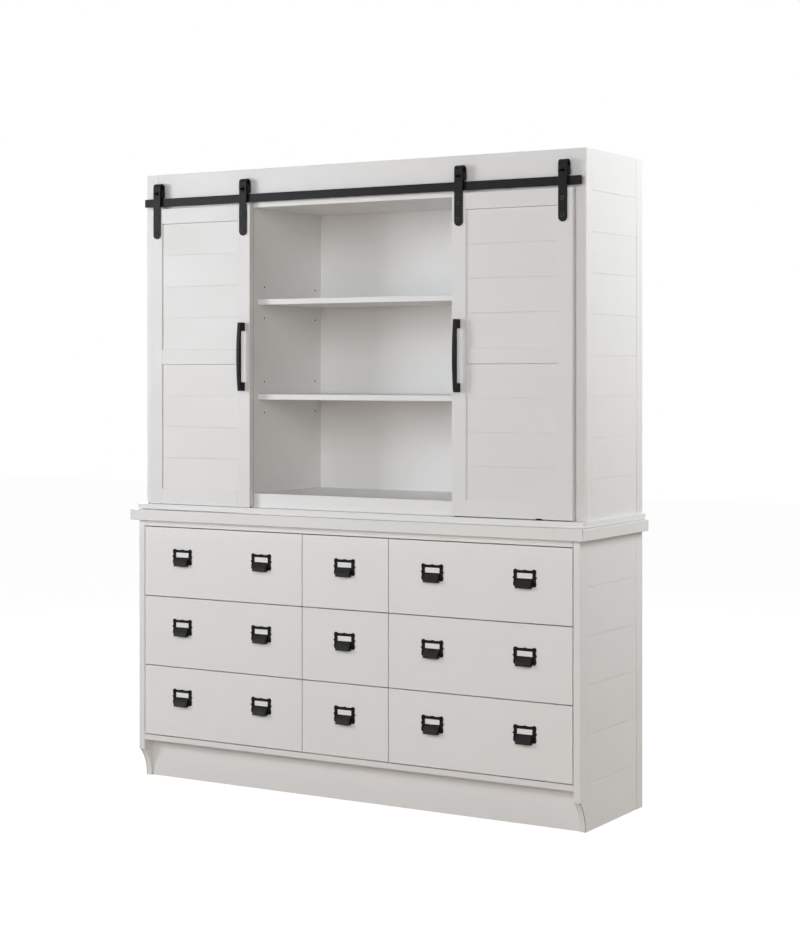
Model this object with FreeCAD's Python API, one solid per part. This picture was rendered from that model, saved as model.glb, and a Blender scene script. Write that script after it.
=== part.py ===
"""Dresser with hutch: a nine-drawer lower case and a planked upper case with two sliding doors.

Millimetres. +Z is up, +Y is the back and +X is the right-hand side as seen from the front.
The origin is on the floor, at the middle of the overall width and depth.
"""

import FreeCAD
import Part
import math
import os

# ---------------------------------------------------------------- lower case
CASE_WIDTH = 1648.0
CASE_DEPTH = 448.0
CASE_HEIGHT = 868.0
SIDE_THICKNESS = 22.0
SIDE_FRONT_STILE = 50.0
SIDE_REAR_STILE = 45.0
SIDE_PLANK_COVER = 146.0
SIDE_PLANKS = 6
FOOT_CUT_HEIGHT = 93.0
FOOT_CUT_DEPTH = 40.0
FOOT_CUT_LEDGE = 5.0
FOOT_CURVE_MIDDLE_DEPTH = 29.0
FOOT_CURVE_MIDDLE_HEIGHT = 56.0
KICK_HEIGHT = 127.0
KICK_SETBACK = 47.0
KICK_THICKNESS = 19.0
CASE_BOTTOM_THICKNESS = 18.0
TOP_RAIL_HEIGHT = 20.0
TOP_RAIL_DEPTH = 60.0
DIVIDER_THICKNESS = 19.0
BACK_THICKNESS = 5.0
TOP_THICKNESS = 35.0
TOP_FRONT_OVERHANG = 22.0
TOP_SIDE_OVERHANG = 21.0

# ---------------------------------------------------------------- drawers
DRAWER_ROWS = 3
DRAWER_GAP = 3.0
CENTRE_DRAWER_WIDTH = 321.0
DRAWER_FRONT_THICKNESS = 20.0
DRAWER_BOARD = 12.0
DRAWER_BOX_LENGTH = 400.0
DRAWER_BOX_HEIGHT = 160.0
DRAWER_BOX_RISE = 26.0
DRAWER_BOTTOM_THICKNESS = 6.0
DRAWER_BOTTOM_RISE = 10.0
DRAWER_GROOVE_DEPTH = 6.0
RUNNER_SPACE = 12.7
RUNNER_HEIGHT = 45.0
RUNNER_RISE = 40.0
RUNNER_SHEET = 1.4
RUNNER_DEPTH = 9.5
RUNNER_CLEARANCE = 0.4

# ---------------------------------------------------------------- drawer pulls
PULL_SPACING = 320.0
PULL_RISE = 20.5
PULL_PLATE_WIDTH = 73.0
PULL_PLATE_HEIGHT = 46.0
PULL_PLATE_THICKNESS = 4.0
PULL_LOBE_RADIUS = 8.5
PULL_LOBE_OVERHANG = 2.0
PULL_LOBE_OVERHANG_Z = 4.0
PULL_TIP = 4.7
PULL_TOP_BUMP = 2.0
PULL_TOP_BUMP_RADIUS = 4.0
PULL_WINDOW_WIDTH = 55.0
PULL_WINDOW_HEIGHT = 17.0
PULL_WINDOW_RISE = 6.0
PULL_HOOD_WIDTH = 53.0
PULL_HOOD_HEIGHT = 26.5
PULL_HOOD_PROJECTION = 16.5
PULL_HOOD_WALL = 2.5
PULL_HOOD_BELLY = 3.0
CARD_THICKNESS = 0.6
CARD_MARGIN = 2.0
CARD_CLEARANCE = 0.2
PULL_SCREW_RADIUS = 1.5
PULL_SCREW_HEAD_RADIUS = 3.2
PULL_SCREW_HEAD_HEIGHT = 1.6
PULL_SCREW_LENGTH = 14.0

# ---------------------------------------------------------------- upper case
HUTCH_HEIGHT = 1110.0
HUTCH_SETBACK = 43.0
BASE_BOARD_THICKNESS = 19.0
BASE_BOARD_SETBACK = 6.0
BASE_BOARD_SIDE_OVERHANG = 10.5
POST_WIDTH = 48.0
POST_DEPTH = 39.0
HUTCH_SIDE_THICKNESS = 22.0
HUTCH_REAR_STILE = 45.0
HUTCH_SIDE_PLANKS = 9
FACE_THICKNESS = 20.0
HEADER_HEIGHT = 127.0
BOTTOM_RAIL_HEIGHT = 46.0
PANEL_THICKNESS = 19.0
SHELF_THICKNESS = 18.0
SHELF_SETBACK = 23.0
SHELF_SIDE_CLEARANCE = 1.6
SHELF_BACK_CLEARANCE = 3.0
LOWER_SHELF_HEIGHT = 307.0
UPPER_SHELF_HEIGHT = 619.0
PIN_RADIUS = 2.5
PIN_HOLE_DEPTH = 9.0
PIN_HOLE_PITCH = 51.0
PIN_ABOVE_LEDGE = 8.0
PIN_FRONT_INSET = 62.0
PIN_BACK_INSET = 36.0
PIN_PLATE_WIDTH = 14.0
PIN_PLATE_HEIGHT = 16.0
PIN_PLATE_THICKNESS = 1.2
PIN_LEDGE_LENGTH = 12.0
PIN_CLEARANCE = 0.1

# ---------------------------------------------------------------- sliding doors
DOOR_WIDTH = 410.0
DOOR_HEIGHT = 989.0
DOOR_THICKNESS = 20.0
DOOR_STANDOFF = 6.0
DOOR_FLOOR_GAP = 3.0
DOOR_INNER_LAP = 2.0
DOOR_END_REVEAL = 34.0
DOOR_STILE = 49.0
DOOR_TOP_RAIL = 51.0
DOOR_MIDDLE_RAIL = 50.0
DOOR_BOTTOM_RAIL = 49.0
DOOR_MIDDLE_RAIL_CENTRE = 491.0
DOOR_PLANKS = 4
DOOR_PLANK_THICKNESS = 10.0
DOOR_PLANK_RECESS = 5.0
DOOR_GROOVE_DEPTH = 7.0
DOOR_GROOVE_CLEARANCE = 0.2
GUIDE_SLOT_WIDTH = 5.0
GUIDE_SLOT_DEPTH = 13.0
GUIDE_FIN_THICKNESS = 3.0
GUIDE_FIN_HEIGHT = 11.0
GUIDE_LENGTH = 20.0
GUIDE_DEPTH = 12.0
GUIDE_TOP_CLEARANCE = 0.6
GUIDE_INNER_INSET = 16.0
GUIDE_OUTER_INSET = 110.0

# ---------------------------------------------------------------- rail, hangers and wheels
RAIL_END_INSET = 6.0
RAIL_HEIGHT = 27.0
RAIL_THICKNESS = 5.0
RAIL_CORNER_RADIUS = 3.0
RAIL_ABOVE_DOOR = 8.0
RAIL_BOLTS = 5
RAIL_BOLT_END_INSET = 98.0
RAIL_BOLT_RADIUS = 3.0
RAIL_BOLT_HEAD_RADIUS = 6.0
RAIL_BOLT_IN_HEADER = 16.0
SPACER_RADIUS = 8.0
HANGER_WIDTH = 29.0
HANGER_THICKNESS = 5.0
HANGER_OPENING = 16.0
HANGER_INNER_INSET = 25.0
HANGER_OUTER_INSET = 30.0
HANGER_DROP = 101.0
HANGER_CROWN = 16.0
HANGER_BACK_LEG_GAP = 5.0
HANGER_LOWER_BOLT = 20.0
HANGER_BOLT_PITCH = 50.0
HANGER_BOLT_RADIUS = 3.0
HANGER_BOLT_HEAD_RADIUS = 6.5
HANGER_BOLT_HEAD_HEIGHT = 3.5
HANGER_BOLT_HEAD_ROUNDING = 2.1
HANGER_BOLT_LENGTH = 22.0
WHEEL_TREAD_RADIUS = 16.0
WHEEL_FLANGE_RADIUS = 18.5
WHEEL_THICKNESS = 12.0
WHEEL_GROOVE_CLEARANCE = 0.6
WHEEL_RAIL_GAP = 0.3
AXLE_RADIUS = 4.0
AXLE_CLEARANCE = 0.05
AXLE_HEAD_RADIUS = 9.0
AXLE_HEAD_HEIGHT = 3.0
AXLE_TAIL = 1.5

# ---------------------------------------------------------------- door handles
HANDLE_LENGTH = 224.0
HANDLE_WIDTH = 12.0
HANDLE_FOOT_HEIGHT = 28.0
HANDLE_GAP = 20.5
HANDLE_END_THICKNESS = 5.5
HANDLE_BOW = 7.5
HANDLE_SCREW_RADIUS = 2.0
HANDLE_SCREW_HEAD_RADIUS = 4.0
HANDLE_SCREW_HEAD_HEIGHT = 2.2
HANDLE_SCREW_IN_FOOT = 10.0

# ---------------------------------------------------------------- edges and fits
EASED_EDGE = 1.0
TOP_EASED_EDGE = 2.0
PLANK_BEVEL = 2.0
DOOR_PLANK_BEVEL = 1.0
SCREW_CLEARANCE = 0.1

# ---------------------------------------------------------------- levels and planes that follow
FRONT = (TOP_FRONT_OVERHANG - CASE_DEPTH) / 2
BACK = FRONT + CASE_DEPTH
HALF_CASE = CASE_WIDTH / 2
CASE_INSIDE = HALF_CASE - SIDE_THICKNESS
CASE_FLOOR = KICK_HEIGHT + CASE_BOTTOM_THICKNESS
DRAWER_FIELD_TOP = CASE_HEIGHT - TOP_RAIL_HEIGHT
DRAWER_PITCH = (DRAWER_FIELD_TOP - CASE_FLOOR - DRAWER_GAP) / DRAWER_ROWS
DRAWER_FRONT_HEIGHT = DRAWER_PITCH - DRAWER_GAP
DIVIDER_X = (CENTRE_DRAWER_WIDTH + DRAWER_GAP) / 2
CASE_BACK_FACE = BACK - BACK_THICKNESS
DIVIDER_FRONT = FRONT + DRAWER_FRONT_THICKNESS + DRAWER_GAP
TOP_UPPER = CASE_HEIGHT + TOP_THICKNESS

HUTCH_FLOOR = TOP_UPPER + BASE_BOARD_THICKNESS
HUTCH_TOP = HUTCH_FLOOR + HUTCH_HEIGHT
HUTCH_FACE = FRONT + HUTCH_SETBACK
HUTCH_INSIDE = HALF_CASE - HUTCH_SIDE_THICKNESS
FACE_BACK = HUTCH_FACE + FACE_THICKNESS
POST_INNER = HALF_CASE - POST_WIDTH
BAY_FLOOR = HUTCH_FLOOR + BOTTOM_RAIL_HEIGHT
BAY_CEILING = HUTCH_TOP - HEADER_HEIGHT
HALF_BAY = HALF_CASE - DOOR_END_REVEAL - DOOR_WIDTH + DOOR_INNER_LAP
PIN_FRONT_Y = HUTCH_FACE + PIN_FRONT_INSET
PIN_BACK_Y = CASE_BACK_FACE - PIN_BACK_INSET

DOOR_BACK = HUTCH_FACE - DOOR_STANDOFF
DOOR_FRONT = DOOR_BACK - DOOR_THICKNESS
DOOR_MIDDLE = (DOOR_FRONT + DOOR_BACK) / 2
DOOR_BOTTOM = HUTCH_FLOOR + DOOR_FLOOR_GAP
DOOR_TOP = DOOR_BOTTOM + DOOR_HEIGHT
DOOR_INNER = HALF_BAY - DOOR_INNER_LAP
DOOR_OUTER = DOOR_INNER + DOOR_WIDTH
HALF_RAIL = HALF_CASE - RAIL_END_INSET
RAIL_BOTTOM = DOOR_TOP + RAIL_ABOVE_DOOR
RAIL_TOP = RAIL_BOTTOM + RAIL_HEIGHT
RAIL_MIDDLE_Y = DOOR_FRONT + HANGER_OPENING / 2
RAIL_FRONT = RAIL_MIDDLE_Y - RAIL_THICKNESS / 2
RAIL_BACK = RAIL_MIDDLE_Y + RAIL_THICKNESS / 2
AXLE_Z = RAIL_TOP + WHEEL_RAIL_GAP + WHEEL_TREAD_RADIUS

ROW_NAMES = ("bottom", "middle", "top")
COLUMN_NAMES = ("left", "centre", "right")
SIDES = {"left": -1, "right": 1}


# Two lengths closer than this are the same when edges are picked out by their place.
SAME = 0.001


# ---------------------------------------------------------------- shape helpers
def block(x, y, z):
    """Box between the two values of each pair, whichever way round they are."""
    low = [min(pair) for pair in (x, y, z)]
    size = [abs(pair[1] - pair[0]) for pair in (x, y, z)]
    return Part.makeBox(*size, FreeCAD.Vector(*low))


def board(x, y, z, ease=EASED_EDGE):
    """Box with all its edges slightly chamfered, as sanded boards have."""
    shape = block(x, y, z)
    return shape.makeChamfer(ease, shape.Edges)


def grown(span, amount):
    """A span made longer by that much at each end."""
    return (min(span) - amount, max(span) + amount)


def rod(radius, start, end, x, z):
    """Round bar along Y between two Y values."""
    low = min(start, end)
    axis = FreeCAD.Vector(0, 1, 0)
    return Part.makeCylinder(radius, abs(end - start), FreeCAD.Vector(x, low, z), axis)


def prism_x(points, x):
    """Solid of a closed (y, z) outline between two X values. A step made by arc() is curved."""
    low = min(x)
    edges = []
    here = FreeCAD.Vector(low, *points[0])
    for step in points[1:] + points[:1]:
        if len(step) == 3:
            middle, end = (FreeCAD.Vector(low, *pair) for pair in step[1:])
            edges.append(Part.Arc(here, middle, end).toShape())
        else:
            end = FreeCAD.Vector(low, *step)
            edges.append(Part.LineSegment(here, end).toShape())
        here = end
    face = Part.Face(Part.Wire(edges))
    return face.extrude(FreeCAD.Vector(abs(x[1] - x[0]), 0, 0))


def arc(middle, end):
    """A point of an outline that is reached by an arc through its middle."""
    return ("arc", middle, end)


def fused(shapes):
    """One solid of several that overlap."""
    return shapes[0].multiFuse(shapes[1:]).removeSplitter()


def save(name, solids):
    """Writes one piece, or a group of separate like pieces, as a STEP file."""
    shape = solids[0] if len(solids) == 1 else Part.makeCompound(solids)
    shape.exportStep("parts/" + name + ".step")


# ---------------------------------------------------------------- lower case
def plank(x, y, z, outward):
    """Side plank, its outer edges bevelled so that two planks meet in a V groove."""
    shape = block(x, y, z)
    outer_x = max(x) if outward > 0 else min(x)
    edges = []
    for edge in shape.Edges:
        box = edge.BoundBox
        if abs(box.XMin - outer_x) < SAME and abs(box.XMax - outer_x) < SAME:
            edges.append(edge)
    return shape.makeChamfer(PLANK_BEVEL, edges)


def side_front_stile(x):
    """Front stile of the lower case, its foot cut away in a hollow curve towards the kick board."""
    curve_middle = (FRONT + FOOT_CURVE_MIDDLE_DEPTH, FOOT_CURVE_MIDDLE_HEIGHT)
    outline = [
        (FRONT + SIDE_FRONT_STILE, 0),
        (FRONT + SIDE_FRONT_STILE, CASE_HEIGHT),
        (FRONT, CASE_HEIGHT),
        (FRONT, FOOT_CUT_HEIGHT),
        (FRONT + FOOT_CUT_LEDGE, FOOT_CUT_HEIGHT),
        arc(curve_middle, (FRONT + FOOT_CUT_DEPTH, 0)),
    ]
    return prism_x(outline, x)


def base_side_panel(side):
    """Side of the lower case: two stiles and a field of planks between them."""
    x = (side * CASE_INSIDE, side * HALF_CASE)
    field = (FRONT + SIDE_FRONT_STILE, BACK - SIDE_REAR_STILE)
    end_cover = (CASE_HEIGHT - SIDE_PLANK_COVER * (SIDE_PLANKS - 2)) / 2
    solids = [side_front_stile(x), board(x, (field[1], BACK), (0, CASE_HEIGHT))]
    low = 0.0
    for number in range(SIDE_PLANKS):
        cover = end_cover if number in (0, SIDE_PLANKS - 1) else SIDE_PLANK_COVER
        solids.append(plank(x, field, (low, low + cover), side))
        low += cover
    return solids


def base_dividers():
    """Upright boards between the drawer columns, set back behind the drawer fronts."""
    half = DIVIDER_THICKNESS / 2
    y = (DIVIDER_FRONT, CASE_BACK_FACE)
    z = (CASE_FLOOR, DRAWER_FIELD_TOP)
    return [block((side * DIVIDER_X - half, side * DIVIDER_X + half), y, z) for side in (-1, 1)]


def base_bottom_panel():
    """Bottom of the lower case; its front edge is the strip below the drawers."""
    x = (-CASE_INSIDE, CASE_INSIDE)
    return [board(x, (FRONT, CASE_BACK_FACE), (KICK_HEIGHT, CASE_FLOOR))]


def base_top_rails():
    """Front and rear rails that tie the sides together under the top."""
    x = (-CASE_INSIDE, CASE_INSIDE)
    z = (DRAWER_FIELD_TOP, CASE_HEIGHT)
    front = board(x, (FRONT, FRONT + TOP_RAIL_DEPTH), z)
    rear = board(x, (CASE_BACK_FACE - TOP_RAIL_DEPTH, CASE_BACK_FACE), z)
    return [front, rear]


def base_back_panel():
    """Thin back of the lower case, between the sides."""
    return [block((-CASE_INSIDE, CASE_INSIDE), (CASE_BACK_FACE, BACK), (KICK_HEIGHT, CASE_HEIGHT))]


def kick_boards():
    """Recessed front kick board and the rear one that carries the case bottom."""
    x = (-CASE_INSIDE, CASE_INSIDE)
    z = (0, KICK_HEIGHT)
    front = FRONT + KICK_SETBACK
    return [board(x, (front, front + KICK_THICKNESS), z), board(x, (BACK - KICK_THICKNESS, BACK), z)]


def dresser_top():
    """Thick top of the lower case, overhanging at the front and the sides."""
    half = HALF_CASE + TOP_SIDE_OVERHANG
    y = (FRONT - TOP_FRONT_OVERHANG, BACK)
    return [board((-half, half), y, (CASE_HEIGHT, TOP_UPPER), TOP_EASED_EDGE)]


# ---------------------------------------------------------------- drawers
def drawer_row(row):
    """Lower and upper edge of the drawer fronts of one row, counted from the bottom."""
    low = CASE_FLOOR + DRAWER_GAP + row * DRAWER_PITCH
    return (low, low + DRAWER_FRONT_HEIGHT)


def front_span(column):
    """X span of the drawer fronts of one column."""
    half = CENTRE_DRAWER_WIDTH / 2
    if column == "centre":
        return (-half, half)
    side = SIDES[column]
    return tuple(sorted((side * (half + DRAWER_GAP), side * (CASE_INSIDE - DRAWER_GAP))))


def bay_span(column):
    """X span of the clear space between the case walls of one drawer column."""
    inner = DIVIDER_X - DIVIDER_THICKNESS / 2
    if column == "centre":
        return (-inner, inner)
    side = SIDES[column]
    return tuple(sorted((side * (DIVIDER_X + DIVIDER_THICKNESS / 2), side * CASE_INSIDE)))


def pull_places(column, row):
    """(x, z) of the pulls of one drawer: one on a narrow drawer, two on a wide one."""
    span = front_span(column)
    middle = (span[0] + span[1]) / 2
    z = sum(drawer_row(row)) / 2 + PULL_RISE
    if column == "centre":
        return [(middle, z)]
    return [(middle - PULL_SPACING / 2, z), (middle + PULL_SPACING / 2, z)]


def screw_places(x, z):
    """(x, z) of the four corner screws of a pull whose plate is centred there."""
    across = PULL_PLATE_WIDTH / 2 + PULL_LOBE_OVERHANG - PULL_LOBE_RADIUS
    up = PULL_PLATE_HEIGHT / 2 + PULL_LOBE_OVERHANG_Z - PULL_LOBE_RADIUS
    return [(x + i * across, z + k * up) for i in (-1, 1) for k in (-1, 1)]


def drawer_front(column, row):
    """Inset drawer front with pilot holes for the pull screws."""
    shape = board(front_span(column), (FRONT, FRONT + DRAWER_FRONT_THICKNESS), drawer_row(row))
    depth = PULL_SCREW_LENGTH - PULL_PLATE_THICKNESS
    holes = []
    for x, z in pull_places(column, row):
        for screw_x, screw_z in screw_places(x, z):
            radius = PULL_SCREW_RADIUS + SCREW_CLEARANCE
            holes.append(rod(radius, FRONT, FRONT + depth, screw_x, screw_z))
    return [shape.cut(Part.makeCompound(holes))]


def drawer_box(column, row):
    """Drawer box: two sides, inner front, back, grooved-in bottom and the moving runner members."""
    bay = bay_span(column)
    x = (bay[0] + RUNNER_SPACE, bay[1] - RUNNER_SPACE)
    inside = (x[0] + DRAWER_BOARD, x[1] - DRAWER_BOARD)
    y = (FRONT + DRAWER_FRONT_THICKNESS, FRONT + DRAWER_FRONT_THICKNESS + DRAWER_BOX_LENGTH)
    low = drawer_row(row)[0] + DRAWER_BOX_RISE
    z = (low, low + DRAWER_BOX_HEIGHT)
    bottom_z = (low + DRAWER_BOTTOM_RISE, low + DRAWER_BOTTOM_RISE + DRAWER_BOTTOM_THICKNESS)
    groove_x = (inside[0] - DRAWER_GROOVE_DEPTH, inside[1] + DRAWER_GROOVE_DEPTH)
    groove_y = (y[0] + DRAWER_BOARD - DRAWER_GROOVE_DEPTH, y[1] - DRAWER_BOARD + DRAWER_GROOVE_DEPTH)
    groove = block(groove_x, groove_y, bottom_z)
    boards = [
        block((x[0], inside[0]), y, z),
        block((inside[1], x[1]), y, z),
        block(inside, (y[0], y[0] + DRAWER_BOARD), z),
        block(inside, (y[1] - DRAWER_BOARD, y[1]), z),
    ]
    solids = [piece.cut(groove) for piece in boards]
    solids.append(groove)
    solids.append(runner_member(x[0], -1, row, moving=True))
    solids.append(runner_member(x[1], 1, row, moving=True))
    return solids


def runner_member(seat_x, direction, row, moving):
    """One steel runner channel, its web on the seat and its lips reaching in the given X direction."""
    middle = drawer_row(row)[0] + DRAWER_BOX_RISE + RUNNER_RISE
    half = RUNNER_HEIGHT / 2
    if moving:
        half -= RUNNER_SHEET + RUNNER_CLEARANCE
    start = FRONT + DRAWER_FRONT_THICKNESS + DRAWER_GAP
    y = (start, start + DRAWER_BOX_LENGTH - DRAWER_GAP)
    outer = block((seat_x, seat_x + direction * RUNNER_DEPTH), y, (middle - half, middle + half))
    hollow_x = (seat_x + direction * RUNNER_SHEET, seat_x + direction * (RUNNER_DEPTH + RUNNER_SHEET))
    hollow = block(hollow_x, y, (middle - half + RUNNER_SHEET, middle + half - RUNNER_SHEET))
    return outer.cut(hollow)


def drawer_runners():
    """Fixed runner channels, two for each drawer, on the sides and the dividers."""
    solids = []
    for row in range(DRAWER_ROWS):
        for column in COLUMN_NAMES:
            bay = bay_span(column)
            solids.append(runner_member(bay[0], 1, row, moving=False))
            solids.append(runner_member(bay[1], -1, row, moving=False))
    return solids


# ---------------------------------------------------------------- drawer pulls
def pull_plate(x, z):
    """Scalloped plate of a pull: a bar frame with corner lobes, side points, a top bump and a window."""
    y = (FRONT - PULL_PLATE_THICKNESS, FRONT)
    half_w, half_h = PULL_PLATE_WIDTH / 2, PULL_PLATE_HEIGHT / 2
    shapes = [block((x - half_w, x + half_w), y, (z - half_h, z + half_h))]
    for lobe_x, lobe_z in screw_places(x, z):
        shapes.append(rod(PULL_LOBE_RADIUS, *y, lobe_x, lobe_z))
    shapes.append(rod(PULL_TOP_BUMP_RADIUS, *y, x, z + half_h + PULL_TOP_BUMP - PULL_TOP_BUMP_RADIUS))
    for side in (-1, 1):
        shapes.append(diamond(x + side * half_w, z, PULL_TIP))
    window_x = grown((x, x), PULL_WINDOW_WIDTH / 2)
    window_z = grown((z + PULL_WINDOW_RISE, z + PULL_WINDOW_RISE), PULL_WINDOW_HEIGHT / 2)
    window = block(window_x, y, window_z)
    return fused(shapes).cut(window)


def diamond(x, z, reach):
    """Small four-sided point of a pull's plate, reaching that far from its centre."""
    y = (FRONT - PULL_PLATE_THICKNESS, FRONT)
    corners = [(x + reach, z), (x, z + reach), (x - reach, z), (x, z - reach)]
    points = [FreeCAD.Vector(px, y[0], pz) for px, pz in corners]
    face = Part.Face(Part.makePolygon(points + points[:1]))
    return face.extrude(FreeCAD.Vector(0, PULL_PLATE_THICKNESS, 0))


def hood_profile(plate_front, top, inset):
    """(y, z) outline of the hood's section, shrunk by the inset for its hollow."""
    lip = plate_front - PULL_HOOD_PROJECTION + inset
    bottom = top - PULL_HOOD_HEIGHT
    start = (plate_front, top - inset * PULL_HOOD_HEIGHT / PULL_HOOD_PROJECTION)
    end = (lip, bottom)
    belly = PULL_HOOD_BELLY / math.hypot(end[0] - start[0], end[1] - start[1])
    middle_y = (start[0] + end[0]) / 2 + (end[1] - start[1]) * belly
    middle_z = (start[1] + end[1]) / 2 - (end[0] - start[0]) * belly
    return [start, arc((middle_y, middle_z), end), (plate_front, bottom)]


def pull_hood(x, z):
    """Hooded cup below the window of a pull, open underneath."""
    plate_front = FRONT - PULL_PLATE_THICKNESS
    top = z + PULL_WINDOW_RISE - PULL_WINDOW_HEIGHT / 2 - PULL_HOOD_WALL
    half = PULL_HOOD_WIDTH / 2
    outer = prism_x(hood_profile(plate_front, top, 0.0), (x - half, x + half))
    inner_half = half - PULL_HOOD_WALL
    inner = prism_x(hood_profile(plate_front, top, PULL_HOOD_WALL), (x - inner_half, x + inner_half))
    return outer.cut(inner)


def drawer_pulls(column, row):
    """Pulls of one drawer: each a casting, the card behind its window and four screws."""
    solids = []
    pocket_half = PULL_WINDOW_WIDTH / 2 + CARD_MARGIN
    for x, z in pull_places(column, row):
        window_z = z + PULL_WINDOW_RISE
        pocket_rise = PULL_WINDOW_HEIGHT / 2 + CARD_MARGIN
        pocket = block(
            (x - pocket_half, x + pocket_half),
            (FRONT - CARD_THICKNESS - CARD_CLEARANCE, FRONT),
            (window_z - pocket_rise, window_z + pocket_rise),
        )
        casting = fused([pull_plate(x, z), pull_hood(x, z)]).cut(pocket)
        card_half = pocket_half - CARD_CLEARANCE
        card_rise = pocket_rise - CARD_CLEARANCE
        card = block(
            (x - card_half, x + card_half),
            (FRONT - CARD_THICKNESS, FRONT),
            (window_z - card_rise, window_z + card_rise),
        )
        holes = []
        for screw_x, screw_z in screw_places(x, z):
            holes.append(
                rod(
                    PULL_SCREW_RADIUS + SCREW_CLEARANCE,
                    FRONT - PULL_PLATE_THICKNESS,
                    FRONT,
                    screw_x,
                    screw_z,
                )
            )
        solids.append(casting.cut(Part.makeCompound(holes)))
        solids.append(card)
        for screw_x, screw_z in screw_places(x, z):
            solids.append(pull_screw(screw_x, screw_z))
    return solids


def pull_screw(x, z):
    """Round-head wood screw that holds a pull on its drawer front."""
    seat = FRONT - PULL_PLATE_THICKNESS
    head = rod(PULL_SCREW_HEAD_RADIUS, seat - PULL_SCREW_HEAD_HEIGHT, seat, x, z)
    shank = rod(PULL_SCREW_RADIUS, seat, seat + PULL_SCREW_LENGTH, x, z)
    return fused([head, shank])


# ---------------------------------------------------------------- upper case
def hutch_base_board():
    """Thin board that the upper case stands on."""
    half = HALF_CASE + BASE_BOARD_SIDE_OVERHANG
    return [board((-half, half), (FRONT + BASE_BOARD_SETBACK, BACK), (TOP_UPPER, HUTCH_FLOOR))]


def hutch_side_panel(side):
    """Side of the upper case behind its post: a rear stile and a field of planks."""
    x = (side * HUTCH_INSIDE, side * HALF_CASE)
    field = (HUTCH_FACE + POST_DEPTH, BACK - HUTCH_REAR_STILE)
    solids = [board(x, (field[1], BACK), (HUTCH_FLOOR, HUTCH_TOP))]
    cover = HUTCH_HEIGHT / HUTCH_SIDE_PLANKS
    for number in range(HUTCH_SIDE_PLANKS):
        low = HUTCH_FLOOR + number * cover
        solids.append(plank(x, field, (low, low + cover), side))
    return solids


def posts():
    """Front corner posts of the upper case."""
    y = (HUTCH_FACE, HUTCH_FACE + POST_DEPTH)
    z = (HUTCH_FLOOR, HUTCH_TOP)
    return [board((side * POST_INNER, side * HALF_CASE), y, z) for side in (-1, 1)]


def hutch_face_frame():
    """Face of the upper case: two corner posts, the header that carries the rail, a bottom rail."""
    x = (-POST_INNER, POST_INNER)
    y = (HUTCH_FACE, FACE_BACK)
    header = board(x, y, (BAY_CEILING, HUTCH_TOP))
    holes = []
    for bolt_x in rail_bolt_places():
        hole_end = HUTCH_FACE + RAIL_BOLT_IN_HEADER
        holes.append(
            rod(RAIL_BOLT_RADIUS + SCREW_CLEARANCE, HUTCH_FACE, hole_end, bolt_x, rail_middle_z())
        )
    bottom_rail = board(x, y, (HUTCH_FLOOR, BAY_FLOOR))
    return posts() + [header.cut(Part.makeCompound(holes)), bottom_rail]


def between_sides(z):
    """Horizontal panel between the sides of the upper case, notched around the posts."""
    panel = block((-HUTCH_INSIDE, HUTCH_INSIDE), (FACE_BACK, CASE_BACK_FACE), z)
    notches = []
    for side in (-1, 1):
        notch_x = (side * POST_INNER, side * HUTCH_INSIDE)
        notches.append(block(notch_x, (FACE_BACK, HUTCH_FACE + POST_DEPTH), z))
    return panel.cut(Part.makeCompound(notches))


def hutch_top_panel():
    """Top of the upper case, behind the header."""
    return [between_sides((HUTCH_TOP - PANEL_THICKNESS, HUTCH_TOP))]


def hutch_floor_and_ceiling():
    """Floor and ceiling of the bays, level with the bottom rail and the header's lower edge."""
    floor = between_sides((BAY_FLOOR - PANEL_THICKNESS, BAY_FLOOR))
    ceiling = between_sides((BAY_CEILING, BAY_CEILING + PANEL_THICKNESS))
    return [floor, ceiling]


def pin_heights():
    """Z of the three rows of pin holes for each shelf; the middle row of each is in use."""
    levels = []
    for height in (LOWER_SHELF_HEIGHT, UPPER_SHELF_HEIGHT):
        middle = BAY_FLOOR + height + PIN_ABOVE_LEDGE
        levels += [middle - PIN_HOLE_PITCH, middle, middle + PIN_HOLE_PITCH]
    return levels


def hutch_dividers():
    """Upright boards on either side of the open bay, drilled for the shelf pins."""
    solids = []
    for side in (-1, 1):
        x = (side * HALF_BAY, side * (HALF_BAY + PANEL_THICKNESS))
        shape = block(x, (HUTCH_FACE, CASE_BACK_FACE), (BAY_FLOOR, BAY_CEILING))
        holes = []
        for z in pin_heights():
            for y in (PIN_FRONT_Y, PIN_BACK_Y):
                start = FreeCAD.Vector(side * HALF_BAY, y, z)
                axis = FreeCAD.Vector(side, 0, 0)
                holes.append(Part.makeCylinder(PIN_RADIUS + PIN_CLEARANCE, PIN_HOLE_DEPTH, start, axis))
        solids.append(shape.cut(Part.makeCompound(holes)))
    return solids


def hutch_back_panel():
    """Thin back of the upper case, between the sides."""
    return [block((-HUTCH_INSIDE, HUTCH_INSIDE), (CASE_BACK_FACE, BACK), (HUTCH_FLOOR, HUTCH_TOP))]


def shelves():
    """Two adjustable shelves of the open bay."""
    half = HALF_BAY - SHELF_SIDE_CLEARANCE
    y = (HUTCH_FACE + SHELF_SETBACK, CASE_BACK_FACE - SHELF_BACK_CLEARANCE)
    solids = []
    for height in (LOWER_SHELF_HEIGHT, UPPER_SHELF_HEIGHT):
        low = BAY_FLOOR + height
        solids.append(board((-half, half), y, (low, low + SHELF_THICKNESS)))
    return solids


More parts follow.
